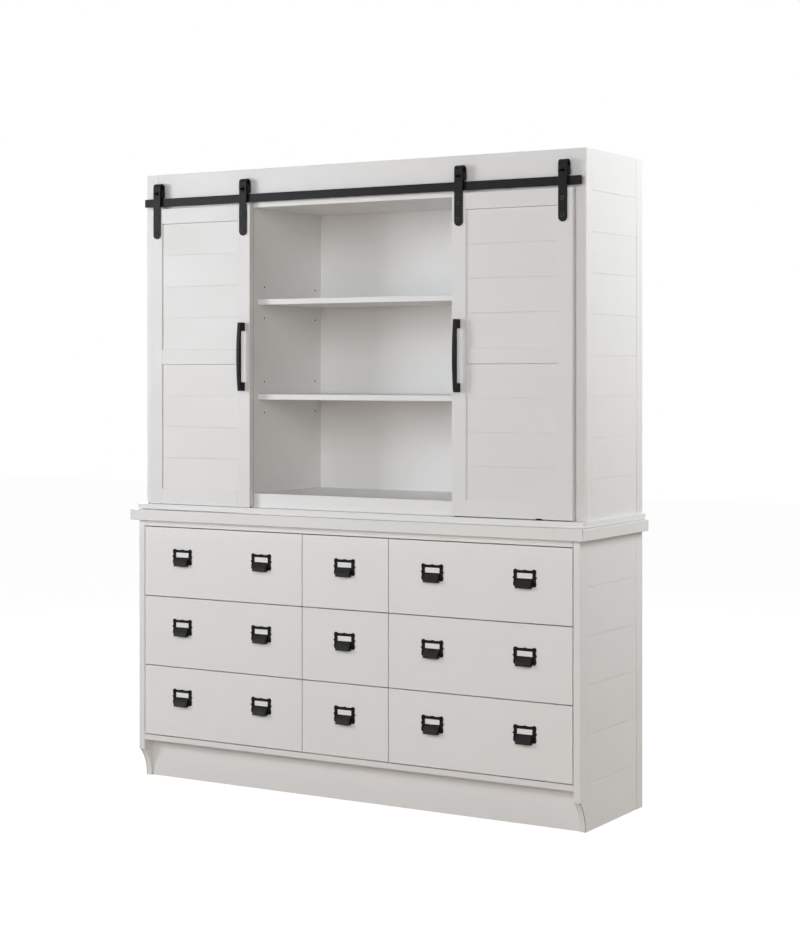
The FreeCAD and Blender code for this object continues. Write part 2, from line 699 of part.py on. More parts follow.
def shelf_pin(side, y, underside):
    """L-shaped shelf pin: a stem in the divider, a plate against it and a ledge under the shelf."""
    wall = side * HALF_BAY
    width = (y - PIN_PLATE_WIDTH / 2, y + PIN_PLATE_WIDTH / 2)
    plate_x = (wall, wall - side * PIN_PLATE_THICKNESS)
    low = underside - PIN_PLATE_THICKNESS
    plate = block(plate_x, width, (low, low + PIN_PLATE_HEIGHT))
    ledge = block((wall, wall - side * PIN_LEDGE_LENGTH), width, (low, underside))
    start = FreeCAD.Vector(plate_x[1], y, underside + PIN_ABOVE_LEDGE)
    stem_length = PIN_HOLE_DEPTH - PIN_CLEARANCE + PIN_PLATE_THICKNESS
    stem = Part.makeCylinder(PIN_RADIUS, stem_length, start, FreeCAD.Vector(side, 0, 0))
    return fused([plate, ledge, stem])


def shelf_pins():
    """Four pins under each shelf."""
    solids = []
    for height in (LOWER_SHELF_HEIGHT, UPPER_SHELF_HEIGHT):
        for side in (-1, 1):
            for y in (PIN_FRONT_Y, PIN_BACK_Y):
                solids.append(shelf_pin(side, y, BAY_FLOOR + height))
    return solids


# ---------------------------------------------------------------- rail and guides
def rail_middle_z():
    """Height of the middle of the rail."""
    return RAIL_BOTTOM + RAIL_HEIGHT / 2


def rail_bolt_places():
    """X of the rail bolts, evenly spaced."""
    reach = HALF_RAIL - RAIL_BOLT_END_INSET
    return [-reach + 2 * reach * number / (RAIL_BOLTS - 1) for number in range(RAIL_BOLTS)]


def rail_bolt_head(x, grow):
    """Countersunk head of a rail bolt, or its seat when it is grown by a clearance."""
    start = FreeCAD.Vector(x, RAIL_FRONT, rail_middle_z())
    depth = RAIL_BOLT_HEAD_RADIUS - RAIL_BOLT_RADIUS
    return Part.makeCone(
        RAIL_BOLT_HEAD_RADIUS + grow, RAIL_BOLT_RADIUS + grow, depth, start, FreeCAD.Vector(0, 1, 0)
    )


def door_rail():
    """Flat steel rail that the door wheels run on."""
    shape = block((-HALF_RAIL, HALF_RAIL), (RAIL_FRONT, RAIL_BACK), (RAIL_BOTTOM, RAIL_TOP))
    corners = [edge for edge in shape.Edges if edge.BoundBox.YLength > RAIL_THICKNESS / 2]
    shape = shape.makeFillet(RAIL_CORNER_RADIUS, corners)
    holes = []
    for x in rail_bolt_places():
        holes.append(rod(RAIL_BOLT_RADIUS + SCREW_CLEARANCE, RAIL_FRONT, RAIL_BACK, x, rail_middle_z()))
        holes.append(rail_bolt_head(x, SCREW_CLEARANCE))
    return [shape.cut(fused_all(holes))]


def fused_all(shapes):
    """Compound of cutting tools, each bolt's hole and seat joined."""
    return shapes[0].multiFuse(shapes[1:])


def rail_spacer(x):
    """Tube that holds the rail away from the header."""
    z = rail_middle_z()
    outer = rod(SPACER_RADIUS, RAIL_BACK, HUTCH_FACE, x, z)
    return outer.cut(rod(RAIL_BOLT_RADIUS + SCREW_CLEARANCE, RAIL_BACK, HUTCH_FACE, x, z))


def rail_bolt(x):
    """Countersunk bolt through the rail and a spacer into the header."""
    shank = rod(RAIL_BOLT_RADIUS, RAIL_FRONT, HUTCH_FACE + RAIL_BOLT_IN_HEADER, x, rail_middle_z())
    return fused([rail_bolt_head(x, 0.0), shank])


def door_guide(x):
    """Guide on the base board, its fin standing in the slot under a door."""
    half = GUIDE_LENGTH / 2
    foot_top = DOOR_BOTTOM - GUIDE_TOP_CLEARANCE
    foot_y = (DOOR_MIDDLE - GUIDE_DEPTH / 2, DOOR_MIDDLE + GUIDE_DEPTH / 2)
    foot = block((x - half, x + half), foot_y, (HUTCH_FLOOR, foot_top))
    fin_y = (DOOR_MIDDLE - GUIDE_FIN_THICKNESS / 2, DOOR_MIDDLE + GUIDE_FIN_THICKNESS / 2)
    fin = block((x - half, x + half), fin_y, (HUTCH_FLOOR, foot_top + GUIDE_FIN_HEIGHT))
    return fused([foot, fin])


def door_track_fittings():
    """Rail spacers and bolts, and the guides that keep the doors from swinging."""
    solids = []
    for x in rail_bolt_places():
        solids += [rail_spacer(x), rail_bolt(x)]
    for side in (-1, 1):
        solids.append(door_guide(side * (DOOR_INNER + GUIDE_INNER_INSET)))
        solids.append(door_guide(side * (DOOR_OUTER - GUIDE_OUTER_INSET)))
    return solids


# ---------------------------------------------------------------- doors
def door_fields():
    """Lower and upper edges of the two plank fields of a door."""
    middle = DOOR_BOTTOM + DOOR_MIDDLE_RAIL_CENTRE
    lower = (DOOR_BOTTOM + DOOR_BOTTOM_RAIL, middle - DOOR_MIDDLE_RAIL / 2)
    upper = (middle + DOOR_MIDDLE_RAIL / 2, DOOR_TOP - DOOR_TOP_RAIL)
    return [lower, upper]


def field_x(side):
    """X span of a door's plank fields, between its stiles."""
    return (side * (DOOR_INNER + DOOR_STILE), side * (DOOR_OUTER - DOOR_STILE))


def plank_y(clearance):
    """Y span of the door planks, with a clearance on both faces."""
    front = DOOR_FRONT + DOOR_PLANK_RECESS
    return (front - clearance, front + DOOR_PLANK_THICKNESS + clearance)


def door_frame(side):
    """Frame of a door: two stiles and three rails, grooved for the planks and slotted for the guides."""
    x = (side * DOOR_INNER, side * DOOR_OUTER)
    inner = field_x(side)
    y = (DOOR_FRONT, DOOR_BACK)
    lower, upper = door_fields()
    pieces = [
        board((x[0], inner[0]), y, (DOOR_BOTTOM, DOOR_TOP)),
        board((inner[1], x[1]), y, (DOOR_BOTTOM, DOOR_TOP)),
        board(inner, y, (DOOR_BOTTOM, lower[0])),
        board(inner, y, (lower[1], upper[0])),
        board(inner, y, (upper[1], DOOR_TOP)),
    ]
    cutters = []
    for field in (lower, upper):
        span_x = grown(inner, DOOR_GROOVE_DEPTH)
        cutters.append(block(span_x, plank_y(DOOR_GROOVE_CLEARANCE), grown(field, DOOR_GROOVE_DEPTH)))
    slot_y = (DOOR_MIDDLE - GUIDE_SLOT_WIDTH / 2, DOOR_MIDDLE + GUIDE_SLOT_WIDTH / 2)
    cutters.append(block(x, slot_y, (DOOR_BOTTOM, DOOR_BOTTOM + GUIDE_SLOT_DEPTH)))
    cutters += door_bolt_holes(side)
    return [piece.cut(Part.makeCompound(cutters)) for piece in pieces]


def door_planks(side):
    """Planks of a door, held in the frame's grooves, their front edges bevelled."""
    inner = grown(field_x(side), DOOR_GROOVE_DEPTH - DOOR_GROOVE_CLEARANCE)
    y = plank_y(0.0)
    solids = []
    for low, high in door_fields():
        cover = (high - low) / DOOR_PLANKS
        for number in range(DOOR_PLANKS):
            z = [low + number * cover, low + (number + 1) * cover]
            if number == 0:
                z[0] -= DOOR_GROOVE_DEPTH
            if number == DOOR_PLANKS - 1:
                z[1] += DOOR_GROOVE_DEPTH - DOOR_GROOVE_CLEARANCE
            shape = block(inner, y, z)
            edges = [edge for edge in shape.Edges if is_front_rail_edge(edge, y[0])]
            solids.append(shape.makeChamfer(DOOR_PLANK_BEVEL, edges))
    return solids


def is_front_rail_edge(edge, front):
    """Whether an edge runs along the front face of a plank from side to side."""
    box = edge.BoundBox
    return box.XLength > SAME and abs(box.YMax - front) < SAME


def door_bolt_holes(side):
    """Holes in a door for the hanger bolts and the handle screws."""
    holes = []
    for x in hanger_places(side):
        for z in hanger_bolt_heights():
            end = DOOR_FRONT - HANGER_THICKNESS + HANGER_BOLT_LENGTH
            holes.append(rod(HANGER_BOLT_RADIUS + SCREW_CLEARANCE, DOOR_FRONT, end, x, z))
    for z in handle_screw_heights():
        radius = HANDLE_SCREW_RADIUS + SCREW_CLEARANCE
        holes.append(rod(radius, DOOR_FRONT, DOOR_BACK, handle_x(side), z))
    return holes


# ---------------------------------------------------------------- hangers and wheels
def hanger_places(side):
    """X of the inner and the outer hanger of a door."""
    return [side * (DOOR_INNER + HANGER_INNER_INSET), side * (DOOR_OUTER - HANGER_OUTER_INSET)]


def hanger_bolt_heights():
    """Z of the two bolts that hold a hanger on its door."""
    low = DOOR_TOP - HANGER_DROP + HANGER_LOWER_BOLT
    return [low, low + HANGER_BOLT_PITCH]


def hanger_strap(x):
    """Steel strap with a round lower end, bent back over the wheel."""
    span = (x - HANGER_WIDTH / 2, x + HANGER_WIDTH / 2)
    front = DOOR_FRONT - HANGER_THICKNESS
    back = DOOR_FRONT + HANGER_OPENING
    outer_radius = HANGER_OPENING / 2 + HANGER_THICKNESS
    spring = AXLE_Z + WHEEL_FLANGE_RADIUS + HANGER_CROWN - outer_radius
    low = DOOR_TOP - HANGER_DROP
    leg_end = RAIL_TOP + HANGER_BACK_LEG_GAP
    outline = [
        (DOOR_FRONT, low),
        (DOOR_FRONT, spring),
        arc((RAIL_MIDDLE_Y, spring + HANGER_OPENING / 2), (back, spring)),
        (back, leg_end),
        (back + HANGER_THICKNESS, leg_end),
        (back + HANGER_THICKNESS, spring),
        arc((RAIL_MIDDLE_Y, spring + outer_radius), (front, spring)),
        (front, low),
    ]
    strap = prism_x(outline, span)
    round_z = low + HANGER_WIDTH / 2
    corner = block(span, (front, DOOR_FRONT), (low, round_z))
    corner = corner.cut(rod(HANGER_WIDTH / 2, front, DOOR_FRONT, x, round_z))
    holes = [rod(AXLE_RADIUS, front, back + HANGER_THICKNESS, x, AXLE_Z)]
    for z in hanger_bolt_heights():
        holes.append(rod(HANGER_BOLT_RADIUS + SCREW_CLEARANCE, front, DOOR_FRONT, x, z))
    return strap.cut(corner).cut(Part.makeCompound(holes))


def hanger_bolt(x, z):
    """Button-head bolt of a hanger, its shank in the door stile."""
    seat = DOOR_FRONT - HANGER_THICKNESS
    head = rod(HANGER_BOLT_HEAD_RADIUS, seat - HANGER_BOLT_HEAD_HEIGHT, seat, x, z)
    rim = [edge for edge in head.Edges if edge.BoundBox.YMax < seat - SAME]
    head = head.makeFillet(HANGER_BOLT_HEAD_ROUNDING, rim)
    return fused([head, rod(HANGER_BOLT_RADIUS, seat, seat + HANGER_BOLT_LENGTH, x, z)])


def wheel_axle(x):
    """Bolt that the wheel turns on, through both legs of the strap."""
    front = DOOR_FRONT - HANGER_THICKNESS
    tail = DOOR_FRONT + HANGER_OPENING + HANGER_THICKNESS + AXLE_TAIL
    head = rod(AXLE_HEAD_RADIUS, front - AXLE_HEAD_HEIGHT, front, x, AXLE_Z)
    return fused([head, rod(AXLE_RADIUS, front, tail, x, AXLE_Z)])


def door_hangers(side):
    """Two hangers of a door with their bolts and wheel axles."""
    solids = []
    for x in hanger_places(side):
        solids += [hanger_strap(x), wheel_axle(x)]
        solids += [hanger_bolt(x, z) for z in hanger_bolt_heights()]
    return solids


def wheel(x):
    """Grooved wheel that rides on the rail's upper edge."""
    half = WHEEL_THICKNESS / 2
    groove = RAIL_THICKNESS / 2 + WHEEL_GROOVE_CLEARANCE
    outer = rod(WHEEL_FLANGE_RADIUS, RAIL_MIDDLE_Y - half, RAIL_MIDDLE_Y + half, x, AXLE_Z)
    ring = rod(WHEEL_FLANGE_RADIUS, RAIL_MIDDLE_Y - groove, RAIL_MIDDLE_Y + groove, x, AXLE_Z)
    ring = ring.cut(rod(WHEEL_TREAD_RADIUS, RAIL_MIDDLE_Y - groove, RAIL_MIDDLE_Y + groove, x, AXLE_Z))
    bore = rod(AXLE_RADIUS + AXLE_CLEARANCE, RAIL_MIDDLE_Y - half, RAIL_MIDDLE_Y + half, x, AXLE_Z)
    return [outer.cut(ring).cut(bore)]


# ---------------------------------------------------------------- door handles
def handle_x(side):
    """X of a door's handle, on the middle of the inner stile."""
    return side * (DOOR_INNER + DOOR_STILE / 2)


def handle_middle_z():
    """Height of the handle's middle, level with the door's middle rail."""
    return DOOR_BOTTOM + DOOR_MIDDLE_RAIL_CENTRE


def handle_screw_heights():
    """Z of the screws in the handle's two feet."""
    reach = (HANDLE_LENGTH - HANDLE_FOOT_HEIGHT) / 2
    return [handle_middle_z() - reach, handle_middle_z() + reach]


def door_handle(side):
    """Bowed bar handle on two square feet, screwed on from behind the door."""
    x = handle_x(side)
    span = (x - HANDLE_WIDTH / 2, x + HANDLE_WIDTH / 2)
    middle = handle_middle_z()
    low, high = middle - HANDLE_LENGTH / 2, middle + HANDLE_LENGTH / 2
    bar_back = DOOR_FRONT - HANDLE_GAP
    bar_front = bar_back - HANDLE_END_THICKNESS
    outline = [
        (DOOR_FRONT, low),
        (DOOR_FRONT, low + HANDLE_FOOT_HEIGHT),
        (bar_back, low + HANDLE_FOOT_HEIGHT),
        (bar_back, high - HANDLE_FOOT_HEIGHT),
        (DOOR_FRONT, high - HANDLE_FOOT_HEIGHT),
        (DOOR_FRONT, high),
        (bar_front, high),
        arc((bar_front - HANDLE_BOW, middle), (bar_front, low)),
    ]
    bar = prism_x(outline, span)
    holes = []
    screws = []
    for z in handle_screw_heights():
        end = DOOR_FRONT - HANDLE_SCREW_IN_FOOT
        holes.append(rod(HANDLE_SCREW_RADIUS + SCREW_CLEARANCE, DOOR_FRONT, end, x, z))
        head = rod(HANDLE_SCREW_HEAD_RADIUS, DOOR_BACK, DOOR_BACK + HANDLE_SCREW_HEAD_HEIGHT, x, z)
        screws.append(fused([head, rod(HANDLE_SCREW_RADIUS, DOOR_BACK, end, x, z)]))
    return [bar.cut(Part.makeCompound(holes))] + screws


# ---------------------------------------------------------------- the whole piece of furniture
def main():
    """Writes every piece, or group of like pieces, to its own file."""
    os.makedirs("parts", exist_ok=True)
    save("base_dividers", base_dividers())
    save("base_bottom_panel", base_bottom_panel())
    save("base_top_rails", base_top_rails())
    save("base_back_panel", base_back_panel())
    save("kick_boards", kick_boards())
    save("dresser_top", dresser_top())
    save("drawer_runners", drawer_runners())
    for row, row_name in enumerate(ROW_NAMES):
        for column in COLUMN_NAMES:
            place = row_name + "_" + column
            save("drawer_front_" + place, drawer_front(column, row))
            save("drawer_box_" + place, drawer_box(column, row))
            save("drawer_pulls_" + place, drawer_pulls(column, row))
    save("hutch_base_board", hutch_base_board())
    save("hutch_face_frame", hutch_face_frame())
    save("hutch_dividers", hutch_dividers())
    save("hutch_floor_and_ceiling", hutch_floor_and_ceiling())
    save("hutch_top_panel", hutch_top_panel())
    save("hutch_back_panel", hutch_back_panel())
    save("hutch_shelves", shelves())
    save("shelf_pins", shelf_pins())
    save("door_rail", door_rail())
    save("door_track_fittings", door_track_fittings())
    for side_name, side in SIDES.items():
        save("base_side_panel_" + side_name, base_side_panel(side))
        save("hutch_side_panel_" + side_name, hutch_side_panel(side))
        save("door_frame_" + side_name, door_frame(side))
        save("door_planks_" + side_name, door_planks(side))
        save("door_hangers_" + side_name, door_hangers(side))
        save("door_handle_" + side_name, door_handle(side))
        for place, x in zip(("inner", "outer"), hanger_places(side)):
            save("wheel_" + side_name + "_" + place, wheel(x))


main()
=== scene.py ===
"""Dresser with hutch: the visible model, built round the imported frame.

A painted lower case of nine drawers carries a planked upper case, whose two doors slide on a flat black rail.
Everything is in metres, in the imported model's frame: +Z is up, +Y is the back, +X is the right-hand side.
"""

import sys
import logging
import math
import random
from dataclasses import dataclass, field
from enum import Enum
from functools import cache
from typing import Iterable, Optional, Sequence

import bmesh
import bpy
from mathutils import Matrix, Vector


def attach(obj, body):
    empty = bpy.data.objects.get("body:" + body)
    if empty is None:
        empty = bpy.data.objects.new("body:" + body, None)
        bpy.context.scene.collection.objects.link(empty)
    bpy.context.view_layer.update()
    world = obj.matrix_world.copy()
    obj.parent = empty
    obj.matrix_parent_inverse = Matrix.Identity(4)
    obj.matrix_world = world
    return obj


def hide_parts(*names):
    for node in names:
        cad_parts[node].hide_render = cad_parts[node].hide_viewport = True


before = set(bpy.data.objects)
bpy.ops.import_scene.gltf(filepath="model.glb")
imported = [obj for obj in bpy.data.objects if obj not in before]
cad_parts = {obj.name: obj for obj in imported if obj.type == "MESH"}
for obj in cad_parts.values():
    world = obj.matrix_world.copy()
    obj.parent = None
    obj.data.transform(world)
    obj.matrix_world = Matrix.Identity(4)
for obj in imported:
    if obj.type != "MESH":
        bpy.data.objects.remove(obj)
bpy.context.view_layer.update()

Pair = tuple[float, float]
Span = Pair
Triple = tuple[float, float, float]
Colour = tuple[float, float, float, float]
Outline = Sequence[Pair]
BMesh = bmesh.types.BMesh
Socket = bpy.types.NodeSocket

log = logging.getLogger("dresser")
MM = 0.001


class Axis(Enum):
    """An axis of the model, such as the one that a board's grain runs along."""

    X = 0
    Y = 1
    Z = 2


class Drive(Enum):
    """The recess that a screw or bolt head has for its tool."""

    HEX = "hex"
    CROSS = "cross"
    SLOT = "slot"


class Side(Enum):
    """The left or right half, with its sign along X."""

    LEFT = -1
    RIGHT = 1

    @property
    def word(self) -> str:
        """Its name in lower case."""
        return self.name.lower()


# ------------------------------------------------------------------ shared sizes
@dataclass(frozen=True)
class Plan:
    """Planes and levels that the sub-assemblies share, in metres."""

    front: float = -213 * MM
    back: float = 235 * MM
    panel_front: float = 230 * MM
    half_case: float = 824 * MM
    half_inside: float = 802 * MM
    case_floor: float = 145 * MM
    case_top: float = 868 * MM
    board_under: float = 903 * MM
    hutch_floor: float = 922 * MM
    hutch_top: float = 2032 * MM
    hutch_face: float = -170 * MM
    face_back: float = -150 * MM
    bay_floor: float = 968 * MM
    bay_ceiling: float = 1905 * MM
    half_bay: float = 382 * MM
    door_front: float = -196 * MM
    door_back: float = -176 * MM
    door_bottom: float = 925 * MM
    door_top: float = 1914 * MM
    door_inner: float = 380 * MM
    door_outer: float = 790 * MM
    rail_y: float = -188 * MM
    rail_low: float = 1922 * MM
    rail_high: float = 1949 * MM
    axle_z: float = 1965.3 * MM
    drawer_pitch: float = 700 / 3 * MM
    divider_faces: Span = (152.5 * MM, 171.5 * MM)
    runner_span: Span = (-190 * MM, 207 * MM)


PLAN = Plan()


# ------------------------------------------------------------------ node trees
class Wiring:
    """Short way to add nodes to a tree and wire them."""

    def __init__(self, tree: bpy.types.NodeTree) -> None:
        """Starts with a tree.

        Args:
            tree: The tree that the nodes go into.
        """
        self.tree = tree

    def node(self, kind: str, **settings: object) -> bpy.types.Node:
        """Adds a node.

        Args:
            kind: Its type without the leading ShaderNode.
            settings: Properties to set on it.

        Returns:
            The new node.
        """
        made = self.tree.nodes.new("ShaderNode" + kind)
        for name, value in settings.items():
            setattr(made, name, value)
        return made

    def feed(self, target: Socket, value: object) -> None:
        """Wires an output to an input, or sets a plain value on it.

        Args:
            target: The input socket.
            value: An output socket, or a number, colour or vector.
        """
        if isinstance(value, Socket):
            self.tree.links.new(value, target)
        else:
            target.default_value = value

    def maths(self, operation: str, first: object, second: object, clamp: bool = False) -> Socket:
        """One arithmetic step.

        Args:
            operation: The Math node's operation.
            first: Its first value.
            second: Its second value.
            clamp: Whether the result is kept between 0 and 1.

        Returns:
            The result.
        """
        made = self.node("Math", operation=operation, use_clamp=clamp)
        self.feed(made.inputs[0], first)
        self.feed(made.inputs[1], second)
        return made.outputs[0]

    def times(self, first: object, second: object, clamp: bool = False) -> Socket:
        """Two values multiplied."""
        return self.maths("MULTIPLY", first, second, clamp)

    def plus(self, first: object, second: object, clamp: bool = False) -> Socket:
        """Two values added up."""
        return self.maths("ADD", first, second, clamp)

    def seen_directly(self) -> Socket:
        """A mask of the rays that come from the camera, straight, mirrored or through glass.

        Returns:
            The mask.
        """
        seen = self.node("LightPath").outputs
        direct = self.maths("MAXIMUM", seen["Is Camera Ray"], seen["Is Glossy Ray"])
        return self.maths("MAXIMUM", direct, seen["Is Transmission Ray"])

    def around(self, value: object, middle: float, spread: float) -> Socket:
        """A range of a given spread round its middle, as a value goes from 0 to 1."""
        return self.plus(self.times(value, spread), middle - spread / 2)

    def ramp(self, value: object, low: float, high: float, start: float = 0.0, end: float = 1.0) -> Socket:
        """Maps a value from one range to another, smoothly and clamped.

        Args:
            value: What is mapped.
            low: The input that gives start.
            high: The input that gives end.
            start: The first result.
            end: The last result.

        Returns:
            The mapped value.
        """
        made = self.node("MapRange", interpolation_type="SMOOTHSTEP")
        for place, item in enumerate((value, low, high, start, end)):
            self.feed(made.inputs[place], item)
        return made.outputs[0]

    def noise(self, place: object, scale: object, detail: float, rough: float) -> Socket:
        """A noise pattern.

        Args:
            place: The vector it is read at.
            scale: How many times a metre it changes, as a number or a socket.
            detail: Its octaves.
            rough: How strong the finer octaves are.

        Returns:
            Its value, about 0.5 on average.
        """
        made = self.node("TexNoise")
        self.feed(made.inputs["Vector"], place)
        self.feed(made.inputs["Scale"], scale)
        self.feed(made.inputs["Detail"], detail)
        self.feed(made.inputs["Roughness"], rough)
        return made.outputs["Fac"]

    def blend(self, amount: object, first: object, second: object) -> Socket:
        """Mixes two colours.

        Args:
            amount: 0 gives the first, 1 the second.
            first: A colour.
            second: Another colour.

        Returns:
            The mixed colour.
        """
        made = self.node("Mix", data_type="RGBA")
        self.feed(made.inputs["Factor"], amount)
        self.feed(made.inputs[6], first)
        self.feed(made.inputs[7], second)
        return made.outputs[2]

    def vector(self, operation: str, first: object, second: Optional[object] = None) -> Socket:
        """One step of vector arithmetic.

        Args:
            operation: The Vector Math node's operation.
            first: Its first vector.
            second: Its second vector, where it takes one.

        Returns:
            The result.
        """
        made = self.node("VectorMath", operation=operation)
        self.feed(made.inputs[0], first)
        if second is not None:
            self.feed(made.inputs[1], second)
        return made.outputs[0]

    def split(self, vector: Socket) -> Sequence[Socket]:
        """The X, Y and Z parts of a vector."""
        made = self.node("SeparateXYZ")
        self.feed(made.inputs[0], vector)
        return made.outputs

    def stretched(self, place: object, factors: Triple) -> Socket:
        """A vector with each part multiplied.

        Args:
            place: The vector.
            factors: The three factors.

        Returns:
            The product.
        """
        return self.vector("MULTIPLY", place, factors)

    def bump(self, height: object, distance: float, strength: float) -> Socket:
        """A normal from a height.

        Args:
            height: The height pattern.
            distance: What a height of 1 is in metres.
            strength: How strongly it shows.

        Returns:
            The normal.
        """
        made = self.node("Bump")
        self.feed(made.inputs["Height"], height)
        self.feed(made.inputs["Distance"], distance)
        self.feed(made.inputs["Strength"], strength)
        return made.outputs["Normal"]


class SurfaceGroups:
    """Node groups for what several finishes share, each built once."""

    @staticmethod
    def _start(
        name: str, takes: dict[str, tuple[str, object]], gives: dict[str, str]
    ) -> tuple[Wiring, bpy.types.Node, bpy.types.Node]:
        """Makes an empty group with its sockets.

        Args:
            name: The group's name.
            takes: Input names, each with its socket type and default.
            gives: Output names, each with its socket type.

        Returns:
            The new group's wiring, its input node and its output node.
        """
        tree = bpy.data.node_groups.new(name, "ShaderNodeTree")
        for label, (kind, value) in takes.items():
            made = tree.interface.new_socket(label, in_out="INPUT", socket_type="NodeSocket" + kind)
            made.default_value = value
        for label, kind in gives.items():
            tree.interface.new_socket(label, in_out="OUTPUT", socket_type="NodeSocket" + kind)
        return Wiring(tree), tree.nodes.new("NodeGroupInput"), tree.nodes.new("NodeGroupOutput")

    @classmethod
    @cache
    def board_place(cls) -> bpy.types.NodeTree:
        """Where a point lies in its own board.

        Returns:
            A group that gives the place along, across and through the board, shifted by the board's own
            chance value, the distance to the nearest edge, and that chance value.
        """
        gives = {"Place": "Vector", "Edge distance": "Float", "Chance": "Float"}
        wiring, _, out = cls._start("Board place", {}, gives)
        at = wiring.node("Attribute", attribute_name="board_at").outputs["Vector"]
        half = wiring.node("Attribute", attribute_name="board_half").outputs["Vector"]
        chance = wiring.node("Attribute", attribute_name="board_chance").outputs["Fac"]
        left = wiring.vector("SUBTRACT", half, wiring.vector("ABSOLUTE", at))
        x, y, z = wiring.split(left)
        nearer, farther = wiring.maths("MINIMUM", x, y), wiring.maths("MAXIMUM", x, y)
        edge = wiring.maths("MAXIMUM", nearer, wiring.maths("MINIMUM", farther, z))
        shift = wiring.node("CombineXYZ")
        for part, reach in zip(shift.inputs, (37.0, 11.0, 5.0)):
            wiring.feed(part, wiring.times(chance, reach))
        wiring.feed(out.inputs["Place"], wiring.vector("ADD", at, shift.outputs[0]))
        wiring.feed(out.inputs["Edge distance"], edge)
        wiring.feed(out.inputs["Chance"], chance)
        return wiring.tree

    @classmethod
    @cache
    def brush_strokes(cls) -> bpy.types.NodeTree:
        """Fine strokes along a board, as a brush or the wood's own fibres leave them.

        Returns:
            A group from a place and a fineness to a value and a broad cloudiness.
        """
        takes = {"Place": ("Vector", (0, 0, 0)), "Fineness": ("Float", 1.0)}
        gives = {"Strokes": "Float", "Cloud": "Float"}
        wiring, start, out = cls._start("Brush strokes", takes, gives)
        place = start.outputs["Place"]
        scaled = wiring.node("VectorMath", operation="SCALE")
        wiring.feed(scaled.inputs[0], place)
        wiring.feed(scaled.inputs["Scale"], start.outputs["Fineness"])
        broad = wiring.noise(wiring.stretched(scaled.outputs[0], (2.2, 85.0, 85.0)), 1.0, 4.0, 0.6)
        fine = wiring.noise(wiring.stretched(scaled.outputs[0], (9.0, 520.0, 520.0)), 1.0, 2.0, 0.5)
        wiring.feed(out.inputs["Strokes"], wiring.plus(wiring.times(broad, 0.6), wiring.times(fine, 0.4)))
        wiring.feed(out.inputs["Cloud"], wiring.noise(place, 5.0, 3.0, 0.55))
        return wiring.tree

    @classmethod
    @cache
    def edge_wear(cls) -> bpy.types.NodeTree:
        """Rubbed edges, broken up so that they wear unevenly.

        Returns:
            A group from a distance to the edge, a place, a reach and an amount to a mask.
        """
        takes = {
            "Edge distance": ("Float", 1.0),
            "Place": ("Vector", (0, 0, 0)),
            "Reach": ("Float", 0.002),
            "Amount": ("Float", 0.5),
        }
        wiring, start, out = cls._start("Edge wear", takes, {"Mask": "Float"})
        near = wiring.maths("DIVIDE", start.outputs["Edge distance"], start.outputs["Reach"])
        near = wiring.ramp(near, 0.0, 1.0, 1.0, 0.0)
        patches = wiring.noise(wiring.stretched(start.outputs["Place"], (1.0, 3.0, 3.0)), 22.0, 5.0, 0.65)
        patches = wiring.ramp(patches, 0.48, 0.72)
        mask = wiring.times(wiring.times(near, patches), start.outputs["Amount"], True)
        wiring.feed(out.inputs["Mask"], mask)
        return wiring.tree

    @classmethod
    @cache
    def cast_skin(cls) -> bpy.types.NodeTree:
        """The fine skin of coated iron: pebbled, a little cloudy, with dust and painted sheen on faces turned
        up.

        Returns:
            A group from a place to a height, a cloud value and a mask of dust and painted sheen on faces
            turned up.
        """
        takes = {"Place": ("Vector", (0, 0, 0)), "Pebble": ("Float", 900.0)}
        gives = {"Height": "Float", "Cloud": "Float", "Dust": "Float"}
        wiring, start, out = cls._start("Cast skin", takes, gives)
        place = start.outputs["Place"]
        pebble = wiring.noise(place, start.outputs["Pebble"], 2.0, 0.6)
        swell = wiring.noise(place, 120.0, 2.0, 0.5)
        wiring.feed(out.inputs["Height"], wiring.plus(wiring.times(pebble, 0.6), wiring.times(swell, 0.4)))
        wiring.feed(out.inputs["Cloud"], wiring.noise(place, 45.0, 4.0, 0.6))
        # Faces turned up get the lighter colour: partly settled dust, partly painted sheen of light from
        # above.
        _, _, facing_up = wiring.split(wiring.node("NewGeometry").outputs["Normal"])
        speckle = wiring.ramp(wiring.noise(place, 260.0, 3.0, 0.7), 0.4, 0.7)
        wiring.feed(out.inputs["Dust"], wiring.times(wiring.ramp(facing_up, 0.15, 1.0), speckle))
        return wiring.tree

    @staticmethod
    def place(wiring: Wiring, group: bpy.types.NodeTree, **values: object) -> bpy.types.Node:
        """Puts a group into a material with its own values.

        Args:
            wiring: The material's wiring.
            group: The group.
            values: Inputs by name, with underscores for spaces.

        Returns:
            The group's node.
        """
        made = wiring.tree.nodes.new("ShaderNodeGroup")
        made.node_tree = group
        for label, value in values.items():
            wiring.feed(made.inputs[label.replace("_", " ")], value)
        return made


# ------------------------------------------------------------------ finishes
@dataclass(frozen=True)
class Finish:
    """A finish of this piece of furniture, made into a material when it is first used."""

    name: str
    slot: str

    def material(self) -> bpy.types.Material:
        """The finish's material, built on first use.

        Returns:
            The material.
        """
        found = bpy.data.materials.get(self.name)
        if found is not None:
            return found
        made = bpy.data.materials.new(self.name)
        made.use_nodes = True
        tree = made.node_tree
        tree.nodes.clear()
        wiring = Wiring(tree)
        shader = wiring.node("BsdfPrincipled")
        out = wiring.node("OutputMaterial")
        wiring.feed(out.inputs["Surface"], shader.outputs["BSDF"])
        self.wire(wiring, shader)
        return made

    def wire(self, wiring: Wiring, shader: bpy.types.Node) -> None:
        """Feeds the shader. Each kind of finish has its own way.

        Args:
            wiring: The material's wiring.
            shader: Its Principled shader.
        """
        raise NotImplementedError


